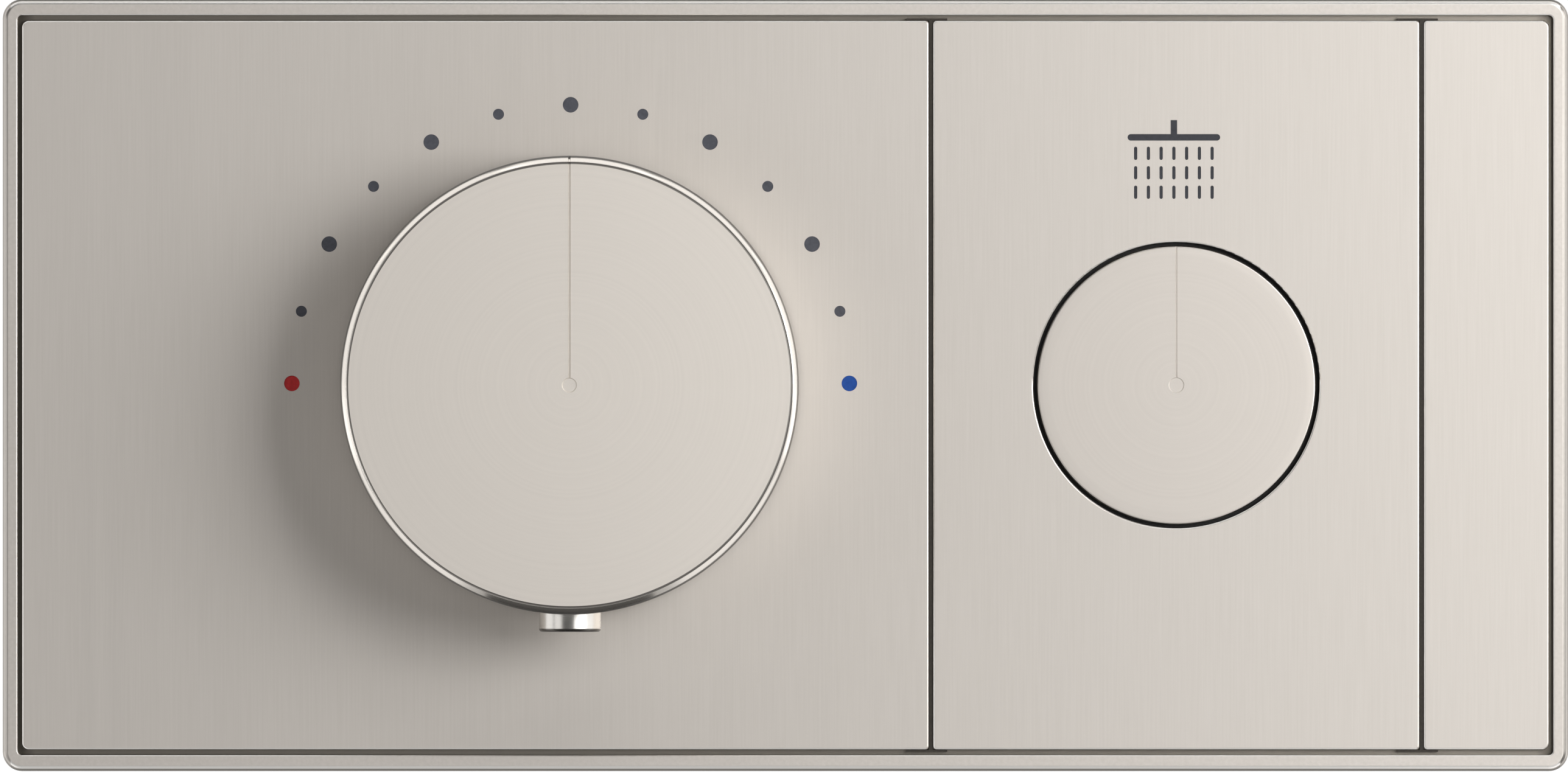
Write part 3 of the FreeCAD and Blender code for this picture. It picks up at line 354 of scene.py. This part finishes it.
# Legs and adapters: brass turned from bar about upright axes and soldered into the bodies.
# The tool leaves fine rings round the bar.
leg_brass = finish("leg_brass", (0.74, 0.54, 0.24), 1.0, 0.27)
leg_rings = grain(leg_brass, own_place(leg_brass, (0.02, 0.02, 1)), 4200)
leg_clouds = grain(leg_brass, own_place(leg_brass), 70)
feed(leg_brass, "Base Color", mixed(leg_brass, leg_clouds, (0.66, 0.46, 0.19), (0.79, 0.6, 0.3)))
feed(leg_brass, "Roughness", span(leg_brass, leg_rings, 0, 1, 0.2, 0.34))
relief(leg_brass, leg_rings, 0.01 * mm)
dress(leg_brass, "hot_leg", "cold_leg", "outlet_leg", "pipe_adapters")


# Crossover: drawn copper tube soldered into both bodies, which takes mixed water to the
# outlet valve. The flame leaves it dark and reddish near its two ends.
def axes_of(material, middle=(0, 0, 0)):
    # X, Y and Z of the piece's own coordinates, measured from a middle point.
    axes = material.node_tree.nodes.new("ShaderNodeSeparateXYZ")
    material.node_tree.links.new(own_place(material, middle=middle), axes.inputs["Vector"])
    return axes.outputs


def unsigned(material, value):
    size = material.node_tree.nodes.new("ShaderNodeMath")
    size.operation = "ABSOLUTE"
    material.node_tree.links.new(value, size.inputs[0])
    return size.outputs[0]


copper = finish("copper_tube", (0.74, 0.37, 0.24), 1.0, 0.26)
crossover_low, crossover_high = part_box("crossover_tube")
crossover_half = (crossover_high.x - crossover_low.x) / 2
crossover_middle = (crossover_low + crossover_high) / 2
heat_reach = 24 * mm
copper_lines = grain(copper, own_place(copper, (0.05, 1, 1)), 1800)
copper_clouds = grain(copper, own_place(copper), 130)
from_middle = unsigned(copper, axes_of(copper, crossover_middle)["X"])
heat = span(copper, from_middle, crossover_half - heat_reach, crossover_half)
bright_copper = mixed(copper, copper_clouds, (0.68, 0.31, 0.19), (0.8, 0.45, 0.32))
feed(copper, "Base Color", mixed(copper, heat, bright_copper, (0.24, 0.085, 0.055)))
feed(copper, "Roughness", span(copper, copper_lines, 0, 1, 0.2, 0.34))
relief(copper, copper_lines, 0.006 * mm)
dress(copper, "crossover_tube")


# Check valves: white acetal bodies and poppets pressed into the two inlet legs.
# The moulding is smooth with a faint skin.
acetal = finish("white_acetal", (0.8, 0.8, 0.77), 0.0, 0.38)
acetal_skin = grain(acetal, own_place(acetal), 900)
feed(acetal, "Base Color", mixed(acetal, acetal_skin, (0.75, 0.75, 0.72), (0.84, 0.84, 0.81)))
feed(acetal, "Roughness", span(acetal, acetal_skin, 0, 1, 0.32, 0.45))
relief(acetal, acetal_skin, 0.01 * mm)
dress(acetal, "check_housings", "hot_check_poppet", "cold_check_poppet")


# Check springs: stainless wire coiled with closed end turns, between poppet and spider.
# Each is wound in the space between the two bodies that it pushes apart.
spring_steel = finish("spring_wire", (0.52, 0.52, 0.53), 1.0, 0.25)
wire_lines = grain(spring_steel, own_place(spring_steel), 3000)
wire_color = mixed(spring_steel, wire_lines, (0.45, 0.45, 0.46), (0.6, 0.6, 0.61))
feed(spring_steel, "Base Color", wire_color)
feed(spring_steel, "Roughness", span(spring_steel, wire_lines, 0, 1, 0.2, 0.33))


def add_piece(name, mesh, material):
    sharp_from = math.radians(24)
    data = bpy.data.meshes.new(name)
    mesh.to_mesh(data)
    mesh.free()
    data.shade_smooth()
    data.set_sharp_from_angle(angle=sharp_from)
    data.materials.append(material)
    piece = bpy.data.objects.new(name, data)
    bpy.context.scene.collection.objects.link(piece)
    return piece


def coil(node, upright, wall_share, turns):
    # Wire wound in the space of the node's sleeve, with one closed turn at each end.
    low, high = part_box(node)
    outer = (high.x - low.x) / 2
    wire = outer * wall_share
    length = (high - low).z if upright else (high - low).y
    wire_sides = 12
    turn_steps = 28
    closed = 1.06 * wire
    pitch = (length - wire - 2 * closed) / turns
    wound = bmesh.new()
    bmesh.ops.create_circle(wound, segments=wire_sides, radius=wire / 2)
    bmesh.ops.translate(wound, verts=wound.verts, vec=(outer - wire / 2, (wire - length) / 2, 0))
    wire_end = list(wound.edges)
    for rise, count in ((closed, 1), (pitch, turns), (closed, 1)):
        run = bmesh.ops.spin(
            wound, geom=wire_end, cent=(0, 0, 0), axis=(0, 1, 0), dvec=(0, rise / turn_steps, 0),
            angle=math.tau * count, steps=turn_steps * count)
        wire_end = [part for part in run["geom_last"] if isinstance(part, bmesh.types.BMEdge)]
    bmesh.ops.holes_fill(wound, edges=wound.edges, sides=wire_sides)
    bmesh.ops.recalc_face_normals(wound, faces=wound.faces)
    if upright:
        bmesh.ops.rotate(wound, verts=wound.verts, matrix=Matrix.Rotation(quarter_turn, 3, "X"))
    bmesh.ops.translate(wound, verts=wound.verts, vec=(low + high) / 2)
    piece = add_piece(node + "_wire", wound, spring_steel)
    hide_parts(node)
    return piece, low, high


for side in ("hot", "cold"):
    piece, low, high = coil(side + "_check_spring", upright=True, wall_share=0.22, turns=6)
    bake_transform(piece)


# Thermostatic cartridge: grey glass-filled nylon housing with turned brass works, a copper
# wax element and a white spool. The nylon is matt from its filler.
nylon = finish("grey_nylon", (0.3, 0.31, 0.32), 0.0, 0.5)
nylon_fibres = grain(nylon, own_place(nylon, (1, 0.3, 1)), 1500)
feed(nylon, "Base Color", mixed(nylon, nylon_fibres, (0.25, 0.26, 0.27), (0.36, 0.37, 0.38)))
feed(nylon, "Roughness", span(nylon, nylon_fibres, 0, 1, 0.42, 0.58))
relief(nylon, nylon_fibres, 0.015 * mm)
dress(nylon, "thermostat_housing", "volume_housing", "button_carrier")
dress(acetal, "mixing_spool", "volume_sleeve", "knob_insert")
dress(copper, "wax_element")
dress(spring_steel, "cap_retainer")


# Nuts, rings, spindle and pistons: brass turned about axes that run into the wall.
# The rings of the tool run across those axes.
turned_brass = finish("turned_brass", (0.74, 0.54, 0.24), 1.0, 0.25)
turned_rings = grain(turned_brass, own_place(turned_brass, (0.02, 1, 0.02)), 4200)
brass_color = mixed(turned_brass, turned_rings, (0.68, 0.49, 0.21), (0.78, 0.58, 0.28))
feed(turned_brass, "Base Color", brass_color)
feed(turned_brass, "Roughness", span(turned_brass, turned_rings, 0, 1, 0.19, 0.32))
relief(turned_brass, turned_rings, 0.01 * mm)
dress(turned_brass, "thermostat_nut", "volume_nut", "thermostat_end_ring", "thermostat_spindle")
dress(turned_brass, "regulator_nut", "spring_cap", "button_stem", "shutoff_piston")


# Cartridge springs: the return spring behind the spool, the overload spring in the nut
# and the spring that lifts the outlet button, all wound from the same steel.
piece, low, high = coil("return_spring", upright=False, wall_share=0.27, turns=4)
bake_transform(piece)
piece, low, high = coil("overload_spring", upright=False, wall_share=0.14, turns=1)
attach(piece, "regulator")
piece, low, high = coil("button_spring", upright=False, wall_share=0.17, turns=3)
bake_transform(piece)


# Seals: black nitrile rings rolled into the grooves of housings, spindle and piston.
# The rubber has a dull, lightly dusted skin.
nitrile = finish("nitrile", (0.016, 0.016, 0.017), 0.0, 0.6)
nitrile_dust = grain(nitrile, own_place(nitrile), 1400)
feed(nitrile, "Base Color", mixed(nitrile, nitrile_dust, (0.01, 0.01, 0.011), (0.028, 0.028, 0.03)))
feed(nitrile, "Roughness", span(nitrile, nitrile_dust, 0, 1, 0.5, 0.7))
dress(nitrile, "thermostat_seals", "volume_seals", "spindle_seal", "stem_seal", "piston_seal")


# Wall gasket: a ring of closed-cell foam cut from sheet, glued behind the frame's edge.
# The cells show as fine pits.
foam = finish("foam", (0.05, 0.05, 0.052), 0.0, 0.9)
cells = foam.node_tree.nodes.new("ShaderNodeTexVoronoi")
cells_per_metre = 1600
cells.inputs["Scale"].default_value = cells_per_metre
foam.node_tree.links.new(own_place(foam), cells.inputs["Vector"])
cell_walls = span(foam, cells.outputs["Distance"], 0, 0.7)
feed(foam, "Base Color", mixed(foam, cell_walls, (0.03, 0.03, 0.032), (0.075, 0.075, 0.08)))
relief(foam, cells.outputs["Distance"], 0.15 * mm)
dress(foam, "wall_gasket")


# Frame: a zinc casting with a narrow flat rim, satin nickel plated and buffed along its
# edges, which are smoother and carry a painted highlight. Edges that turn to the right and
# the outer skirt carry painted shade, and so does the floor of its recess, round the plates.
def depth_share(material, front, back):
    # 0 at the front station, 1 at the back one.
    return span(material, axes_of(material)["Y"], front, back)


def within(material, axis, start, end):
    # 1 up to the start on both sides of the panel's middle, 0 beyond the end.
    return span(material, unsigned(material, axes_of(material)[axis]), start, end, 1, 0)


def both(material, first, second):
    product = material.node_tree.nodes.new("ShaderNodeMath")
    product.operation = "MULTIPLY"
    material.node_tree.links.new(first, product.inputs[0])
    material.node_tree.links.new(second, product.inputs[1])
    return product.outputs[0]


def faces_off(material):
    # 1 where the surface turns left, up or down, 0 where it turns right. It picks painted highlight or
    # painted shade on edges.
    place = material.node_tree.nodes.new("ShaderNodeTexCoord")
    axes = material.node_tree.nodes.new("ShaderNodeSeparateXYZ")
    material.node_tree.links.new(place.outputs["Normal"], axes.inputs["Vector"])
    return span(material, axes.outputs["X"], 0.05, 0.15, 1, 0)


# Painted highlight for the edges, and painted shade at three depths for right-turned edges and the
# skirt.
highlight_painted_nickel = (0.965, 0.935, 0.895)
shade_painted_nickel = (0.5, 0.468, 0.433)
shaded_nickel = (0.33, 0.31, 0.285)
deep_shade_painted_nickel = (0.2, 0.187, 0.172)
flat_roughness = 0.53
edge_roughness = 0.32
edge_start = panel_front + 0.003 * mm
rim_middle = 1.2 * mm
rim_blur = 0.1 * mm
rim_x = panel_high.x - rim_middle
rim_z = panel_high.z - rim_middle
satin = finish("satin_nickel", (0.69, 0.646, 0.598), 1.0, flat_roughness)
satin_fine = grain(satin, own_place(satin), 1800)
satin_flat = mixed(satin, satin_fine, (0.665, 0.623, 0.574), (0.715, 0.669, 0.622))

# Inner edge of the rim: painted highlight, with painted shade where it turns right.
inner_x = within(satin, "X", rim_x - rim_blur, rim_x)
inner_side = both(satin, inner_x, within(satin, "Z", rim_z - rim_blur, rim_z))
inner_edge = depth_share(satin, edge_start, panel_front + 0.01 * mm)
inner_edge_painted_light = mixed(satin, faces_off(satin), shade_painted_nickel, highlight_painted_nickel)
inner_color = mixed(satin, inner_edge, satin_flat, inner_edge_painted_light)

# Outer edge: painted highlight, then painted shade on the skirt behind it, darkest where the short side
# turns right; the flank further back is plain satin.
outer_edge = depth_share(satin, edge_start, panel_front + 0.012 * mm)
skirt = depth_share(satin, panel_front + 0.13 * mm, panel_front + 0.2 * mm)
flank = depth_share(satin, panel_front + 0.9 * mm, panel_front + 1.2 * mm)
long_color = mixed(satin, skirt, highlight_painted_nickel, shaded_nickel)
short_near = mixed(satin, faces_off(satin), deep_shade_painted_nickel, shade_painted_nickel)
short_color = mixed(satin, skirt, short_near, shade_painted_nickel)
rounded_color = mixed(satin, inner_x, short_color, long_color)
outer_edge_painted_light = mixed(satin, flank, rounded_color, satin_flat)
outer_color = mixed(satin, outer_edge, satin_flat, outer_edge_painted_light)

# Painted shade on the floor of the recess, darker in the short grooves at the sides than in the long
# ones.
deep = depth_share(satin, panel_front + 0.1 * mm, panel_front + 0.3 * mm)
recess = both(satin, deep, inner_side)
long_gap = within(satin, "X", panel_high.x - 5.0 * mm, panel_high.x - 3.0 * mm)
recess_painted_shade = mixed(satin, long_gap, (0.2, 0.18, 0.15), (0.44, 0.4, 0.345))
rim_color = mixed(satin, inner_side, outer_color, inner_color)
rim_edge = mixed(satin, inner_side, outer_edge, inner_edge)
feed(satin, "Base Color", mixed(satin, recess, rim_color, recess_painted_shade))
feed(satin, "Roughness", span(satin, rim_edge, 0, 1, flat_roughness, edge_roughness))
relief(satin, satin_fine, 0.004 * mm)
dress(satin, "trim_frame")


# Face plates: three nickel plated plates pressed into the frame, linished up and down
# so that fine upright lines run through the plating. Their edges are buffed like the
# frame's, with a painted highlight and, where they turn right, painted shade; the joint walls carry
# painted shade.
plate_color = (0.69, 0.646, 0.598)
joint_wall_painted_shade = (0.2, 0.185, 0.165)
brushed = finish("brushed_nickel", plate_color, 1.0, 0.52)
upright_lines = grain(brushed, own_place(brushed, (1, 1, 0.02)), 3500)
broad_lines = grain(brushed, own_place(brushed, (1, 1, 0.01)), 500)
line_color = mixed(brushed, upright_lines, (0.678, 0.635, 0.586), (0.702, 0.658, 0.61))
# Edges: painted highlight, painted shade where they turn right; the walls behind them painted shade.
plate_edge = depth_share(brushed, edge_start, panel_front + 0.01 * mm)
plate_wall = depth_share(brushed, panel_front + 0.12 * mm, panel_front + 0.3 * mm)
plate_edge_painted_light = mixed(brushed, faces_off(brushed), shade_painted_nickel, highlight_painted_nickel)
plate_face = mixed(brushed, plate_edge, line_color, plate_edge_painted_light)
plate_sheen = span(brushed, broad_lines, 0, 1, 0.51, 0.535)
feed(brushed, "Base Color", mixed(brushed, plate_wall, plate_face, joint_wall_painted_shade))
feed(brushed, "Roughness", mixed(brushed, plate_edge, plate_sheen, [edge_roughness] * 3))
relief(brushed, upright_lines, 0.0012 * mm)
dress(brushed, "thermostat_plate", "button_plate", "blank_plate")


# Dividers and stop collar: moulded nylon, brown black and black. The dividers fill the
# joints between the plates, the collar is screwed behind the knob with its end stops.
def moulded(name, dark, light):
    material = finish(name, light, 0.0, 0.5)
    skin = grain(material, own_place(material), 2400)
    feed(material, "Base Color", mixed(material, skin, dark, light))
    feed(material, "Roughness", span(material, skin, 0, 1, 0.42, 0.58))
    shader = material.node_tree.nodes["Principled BSDF"]
    shader.inputs["Specular IOR Level"].default_value = 0.25
    relief(material, skin, 0.006 * mm)
    return material


brown_nylon = moulded("brown_nylon", (0.042, 0.036, 0.029), (0.058, 0.05, 0.041))
dress(brown_nylon, "plate_dividers")
black_nylon = moulded("black_nylon", (0.01, 0.01, 0.01), (0.022, 0.021, 0.02))
dress(black_nylon, "stop_collar")


# Scale dots and shower sign: enamel baked into shallow pockets in the plates, grey for
# the scale and the sign, red and blue at the two ends of the scale.
def shade(color, share):
    return [share * part for part in color]


def enamel(name, color):
    material = finish(name, color, 0.0, 0.4)
    flow = grain(material, own_place(material), 1700)
    flow_color = mixed(material, flow, shade(color, 0.85), shade(color, 1.15))
    feed(material, "Base Color", flow_color)
    feed(material, "Roughness", span(material, flow, 0, 1, 0.34, 0.48))
    relief(material, flow, 0.004 * mm)
    return material


dress(enamel("grey_enamel", (0.07, 0.073, 0.09)), "scale_dots")
dress(enamel("dark_enamel", (0.035, 0.036, 0.045)), "shower_sign")
dress(enamel("red_enamel", (0.55, 0.028, 0.03)), "hot_dot")
dress(enamel("blue_enamel", (0.001, 0.062, 0.33)), "cold_dot")


# Temperature knob: turned from brass bar and nickel plated, hollow behind, with a slightly
# crowned face, a fine turned line inside its rounded edge, and an engraved pointer.
def turned_nickel(name, color, middle, face_radius, band_start, band_back, band_roughness):
    # Faint rings on the face, a polished band round its edge, and painted shade in the line
    # between them and just behind the band; further back the side is painted darker.
    face_roughness = 0.6
    side_roughness = 0.55
    line_blur = 0.02 * mm
    band_blur = 0.04 * mm
    side_blur = 0.1 * mm
    painted_dark_end = 0.5 * mm
    side_start = 0.8 * mm
    material = finish(name, color, 1.0, face_roughness)
    flat_place = own_place(material, (1, 0, 1), (middle.x, 0, middle.z))
    reach = material.node_tree.nodes.new("ShaderNodeVectorMath")
    reach.operation = "LENGTH"
    material.node_tree.links.new(flat_place, reach.inputs[0])
    radius = reach.outputs["Value"]
    ring_place = material.node_tree.nodes.new("ShaderNodeCombineXYZ")
    material.node_tree.links.new(radius, ring_place.inputs["X"])
    rings = grain(material, ring_place.outputs["Vector"], 1700)
    # Painted shade: 0.3 of the colour in the turned line and just behind the band, 0.7 on the side.
    painted_dark = shade(color, 0.3)
    line = span(material, radius, face_radius - line_blur, face_radius + line_blur)
    band = span(material, radius, band_start - band_blur, band_start)
    side = depth_share(material, band_back, band_back + side_blur)
    flank = depth_share(material, band_back + painted_dark_end, band_back + side_start)
    ring_color = mixed(material, rings, shade(color, 0.982), shade(color, 1.018))
    band_color = mixed(material, band, painted_dark, color)
    front_color = mixed(material, line, ring_color, band_color)
    side_painted_dark = mixed(material, flank, painted_dark, shade(color, 0.7))
    sheen = mixed(material, band, [face_roughness] * 3, [band_roughness] * 3)
    feed(material, "Base Color", mixed(material, side, front_color, side_painted_dark))
    feed(material, "Roughness", mixed(material, side, sheen, [side_roughness] * 3))
    relief(material, rings, 0.002 * mm)
    return material


def turned(profile, axis_x):
    # A closed body from (radius, depth) points, spun about an axis into the wall.
    spin_steps = 180
    body = bmesh.new()
    points = [body.verts.new((radius, depth, 0)) for radius, depth in profile]
    line = [body.edges.new(pair) for pair in zip(points, points[1:])]
    bmesh.ops.spin(
        body, geom=points + line, cent=(0, 0, 0), axis=(0, 1, 0),
        angle=math.tau, steps=spin_steps, use_merge=True)
    bmesh.ops.remove_doubles(body, verts=body.verts, dist=0.001 * mm)
    bmesh.ops.recalc_face_normals(body, faces=body.faces)
    bmesh.ops.translate(body, verts=body.verts, vec=(axis_x, 0, 0))
    return body


def crowned_face(front, dimple, rim, crown, dimple_depth):
    # Points from the dimple's floor outwards over a face that falls back by the crown.
    steps = 12
    dimple_wall = 0.12 * mm
    points = [(0, front + dimple_depth), (dimple - dimple_wall, front + dimple_depth)]
    for step in range(steps + 1):
        radius = dimple + (rim - dimple) * step / steps
        points.append((radius, front + crown * (radius / rim) ** 2))
    return points


def rounding(start, first, last, radius):
    # An arc on from a point, while the surface turns from first to last degrees off the face.
    steps = 8
    points = []
    for step in range(1, steps + 1):
        turn = math.radians(first + (last - first) * step / steps)
        out = radius * (math.sin(turn) - math.sin(math.radians(first)))
        back = radius * (math.cos(math.radians(first)) - math.cos(turn))
        points.append((start[0] + out, start[1] + back))
    return points


def engrave_pointer(body, axis_x, start, end, width, depth):
    # A straight line cut into the face from the dimple up over the edge. Only faces that
    # look forward are cut.
    forward = -0.3
    for side in (-1, 1):
        facing = [face for face in body.faces if face.normal.y < forward]
        upper = [face for face in facing if face.calc_center_median().z > start]
        around = dict.fromkeys(edge for face in upper for edge in face.edges)
        corners = dict.fromkeys(vert for face in upper for vert in face.verts)
        bmesh.ops.bisect_plane(
            body, geom=upper + list(around) + list(corners), dist=0.0001 * mm,
            plane_co=(axis_x + side * width / 2, 0, 0), plane_no=(1, 0, 0))
    cut = []
    for face in body.faces:
        middle = face.calc_center_median()
        in_line = abs(middle.x - axis_x) < width / 2 and start < middle.z < end
        if face.normal.y < forward and in_line:
            cut.append(face)
    bmesh.ops.inset_region(
        body, faces=cut, thickness=width / 5, depth=-depth, use_even_offset=True)


knob_radius = (knob_high.x - knob_low.x) / 2
knob_front = knob_low.y
knob_back = knob_high.y
knob_color = (0.757, 0.711, 0.656)
knob_crown = 0.35 * mm
knob_dimple = 1.15 * mm
knob_dimple_depth = 0.18 * mm
knob_pointer_start = 1.2 * mm
knob_pointer_width = 0.36 * mm
knob_pointer_depth = 0.2 * mm
band_start = 34.06 * mm
band_end = 34.7 * mm
band_turns = (30, 50)
band_depth = 0.85 * mm
line_width = 0.36 * mm
line_depth = 0.1 * mm
knob_wall = 2.5 * mm
knob_bevel = 0.3 * mm
knob_face_wall = 3.0 * mm
hub_radius = 14.0 * mm
hub_bore = 8.1 * mm
hub_length = 19.0 * mm
face_back = knob_front + knob_face_wall
hub_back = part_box("knob_insert")[0].y + hub_length
rim_radius = band_start - line_width
rim_depth = knob_front + knob_crown
turn_sines = [math.sin(math.radians(turn)) for turn in band_turns]
band_radius = (band_end - band_start) / (turn_sines[1] - turn_sines[0])
edge_radius = (knob_radius - band_end) / (1 - turn_sines[1])
knob_profile = crowned_face(knob_front, knob_dimple, rim_radius, knob_crown, knob_dimple_depth)
knob_profile += [(rim_radius + line_width / 2, rim_depth + line_depth), (band_start, rim_depth)]
knob_profile += rounding(knob_profile[-1], *band_turns, band_radius)
knob_profile += rounding(knob_profile[-1], band_turns[1], 90, edge_radius)
knob_profile += [
    (knob_radius, knob_back - knob_bevel),
    (knob_radius - knob_bevel, knob_back),
    (knob_radius - knob_wall, knob_back),
    (knob_radius - knob_wall, face_back),
    (hub_radius, face_back),
    (hub_radius, hub_back),
    (hub_bore, hub_back),
    (hub_bore, face_back),
    (0, face_back),
]
knob_body = turned(knob_profile, knob_middle.x)
engrave_pointer(
    knob_body, knob_middle.x, knob_pointer_start, knob_radius, knob_pointer_width, knob_pointer_depth)
knob_nickel = turned_nickel(
    "knob_nickel", knob_color, knob_middle, face_radius=rim_radius, band_start=band_start,
    band_back=knob_front + band_depth, band_roughness=0.2)
knob = add_piece("knob_body", knob_body, knob_nickel)
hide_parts("temperature_knob")
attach(knob, "knob")


# Override button: turned brass, nickel plated and polished, with painted shade on its end,
# sprung into the knob's underside. Its spring is wound between knob and button.
polished = finish("polished_nickel", (0.635, 0.61, 0.575), 1.0, 0.26)
polish_marks = grain(polished, own_place(polished, (0.1, 0.1, 1)), 2500)
feed(polished, "Roughness", span(polished, polish_marks, 0, 1, 0.24, 0.28))
override_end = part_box("override_button")[0].z
# The end and its rounding are painted shade; the shaft above is plain polished nickel.
shaded_end_height = 0.4 * mm
shaft_height = 0.6 * mm
height = axes_of(polished)["Z"]
shaft = span(polished, height, override_end + shaded_end_height, override_end + shaft_height)
shaft_color = mixed(polished, polish_marks, (0.62, 0.595, 0.56), (0.65, 0.625, 0.59))
feed(polished, "Base Color", mixed(polished, shaft, (0.12, 0.11, 0.1), shaft_color))
dress(polished, "override_button")
piece, low, high = coil("override_spring", upright=True, wall_share=0.25, turns=9)
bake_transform(piece)


# Outlet button: turned and plated like the knob, a hollow cap that lies flush with its
# plate and is snapped onto the carrier behind it.
button_low, button_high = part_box("outlet_button")
button_middle = (button_low + button_high) / 2
button_radius = (button_high.x - button_low.x) / 2
button_front = button_low.y
button_edge = 0.2 * mm
button_band_depth = 0.3 * mm
button_crown = 0.16 * mm
button_dimple = 1.2 * mm
button_dimple_depth = 0.11 * mm
button_pointer_start = 1.25 * mm
button_pointer_width = 0.28 * mm
button_pointer_depth = 0.12 * mm
button_wall = 2.0 * mm
button_face_wall = 2.5 * mm
cap_back = button_front + button_face_wall
button_face = button_radius - button_edge
button_profile = crowned_face(
    button_front, button_dimple, button_face, button_crown, button_dimple_depth)
button_profile += rounding(button_profile[-1], 0, 90, button_edge)
button_profile += [
    (button_radius, button_high.y),
    (button_radius - button_wall, button_high.y),
    (button_radius - button_wall, cap_back),
    (0, cap_back),
]
button_body = turned(button_profile, button_middle.x)
engrave_pointer(
    button_body, button_middle.x, button_pointer_start, button_radius, button_pointer_width,
    button_pointer_depth)
button_nickel = turned_nickel(
    "button_nickel", plate_color, button_middle, face_radius=button_face, band_start=button_face,
    band_back=button_front + button_band_depth, band_roughness=0.35)
button = add_piece("button_cap", button_body, button_nickel)
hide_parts("outlet_button")
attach(button, "outlet_push")


# Button guide: a black nylon ring clipped behind the button's hole, which centres the
# button and closes the gap round it. Its black serves as painted shade deep in that gap.
guide_clearance = 0.15 * mm
guide_reach = 1.1 * mm
guide_depth = 1.6 * mm
guide_thickness = 1.2 * mm
guide_inner = button_radius + guide_clearance
guide_outer = button_radius + guide_reach
guide_front = panel_front + guide_depth
guide_back = guide_front + guide_thickness
guide_profile = [
    (guide_inner, guide_front),
    (guide_outer, guide_front),
    (guide_outer, guide_back),
    (guide_inner, guide_back),
    (guide_inner, guide_front),
]
guide_body = turned(guide_profile, button_middle.x)
guide = add_piece("button_guide", guide_body, black_nylon)
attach(guide, "root")
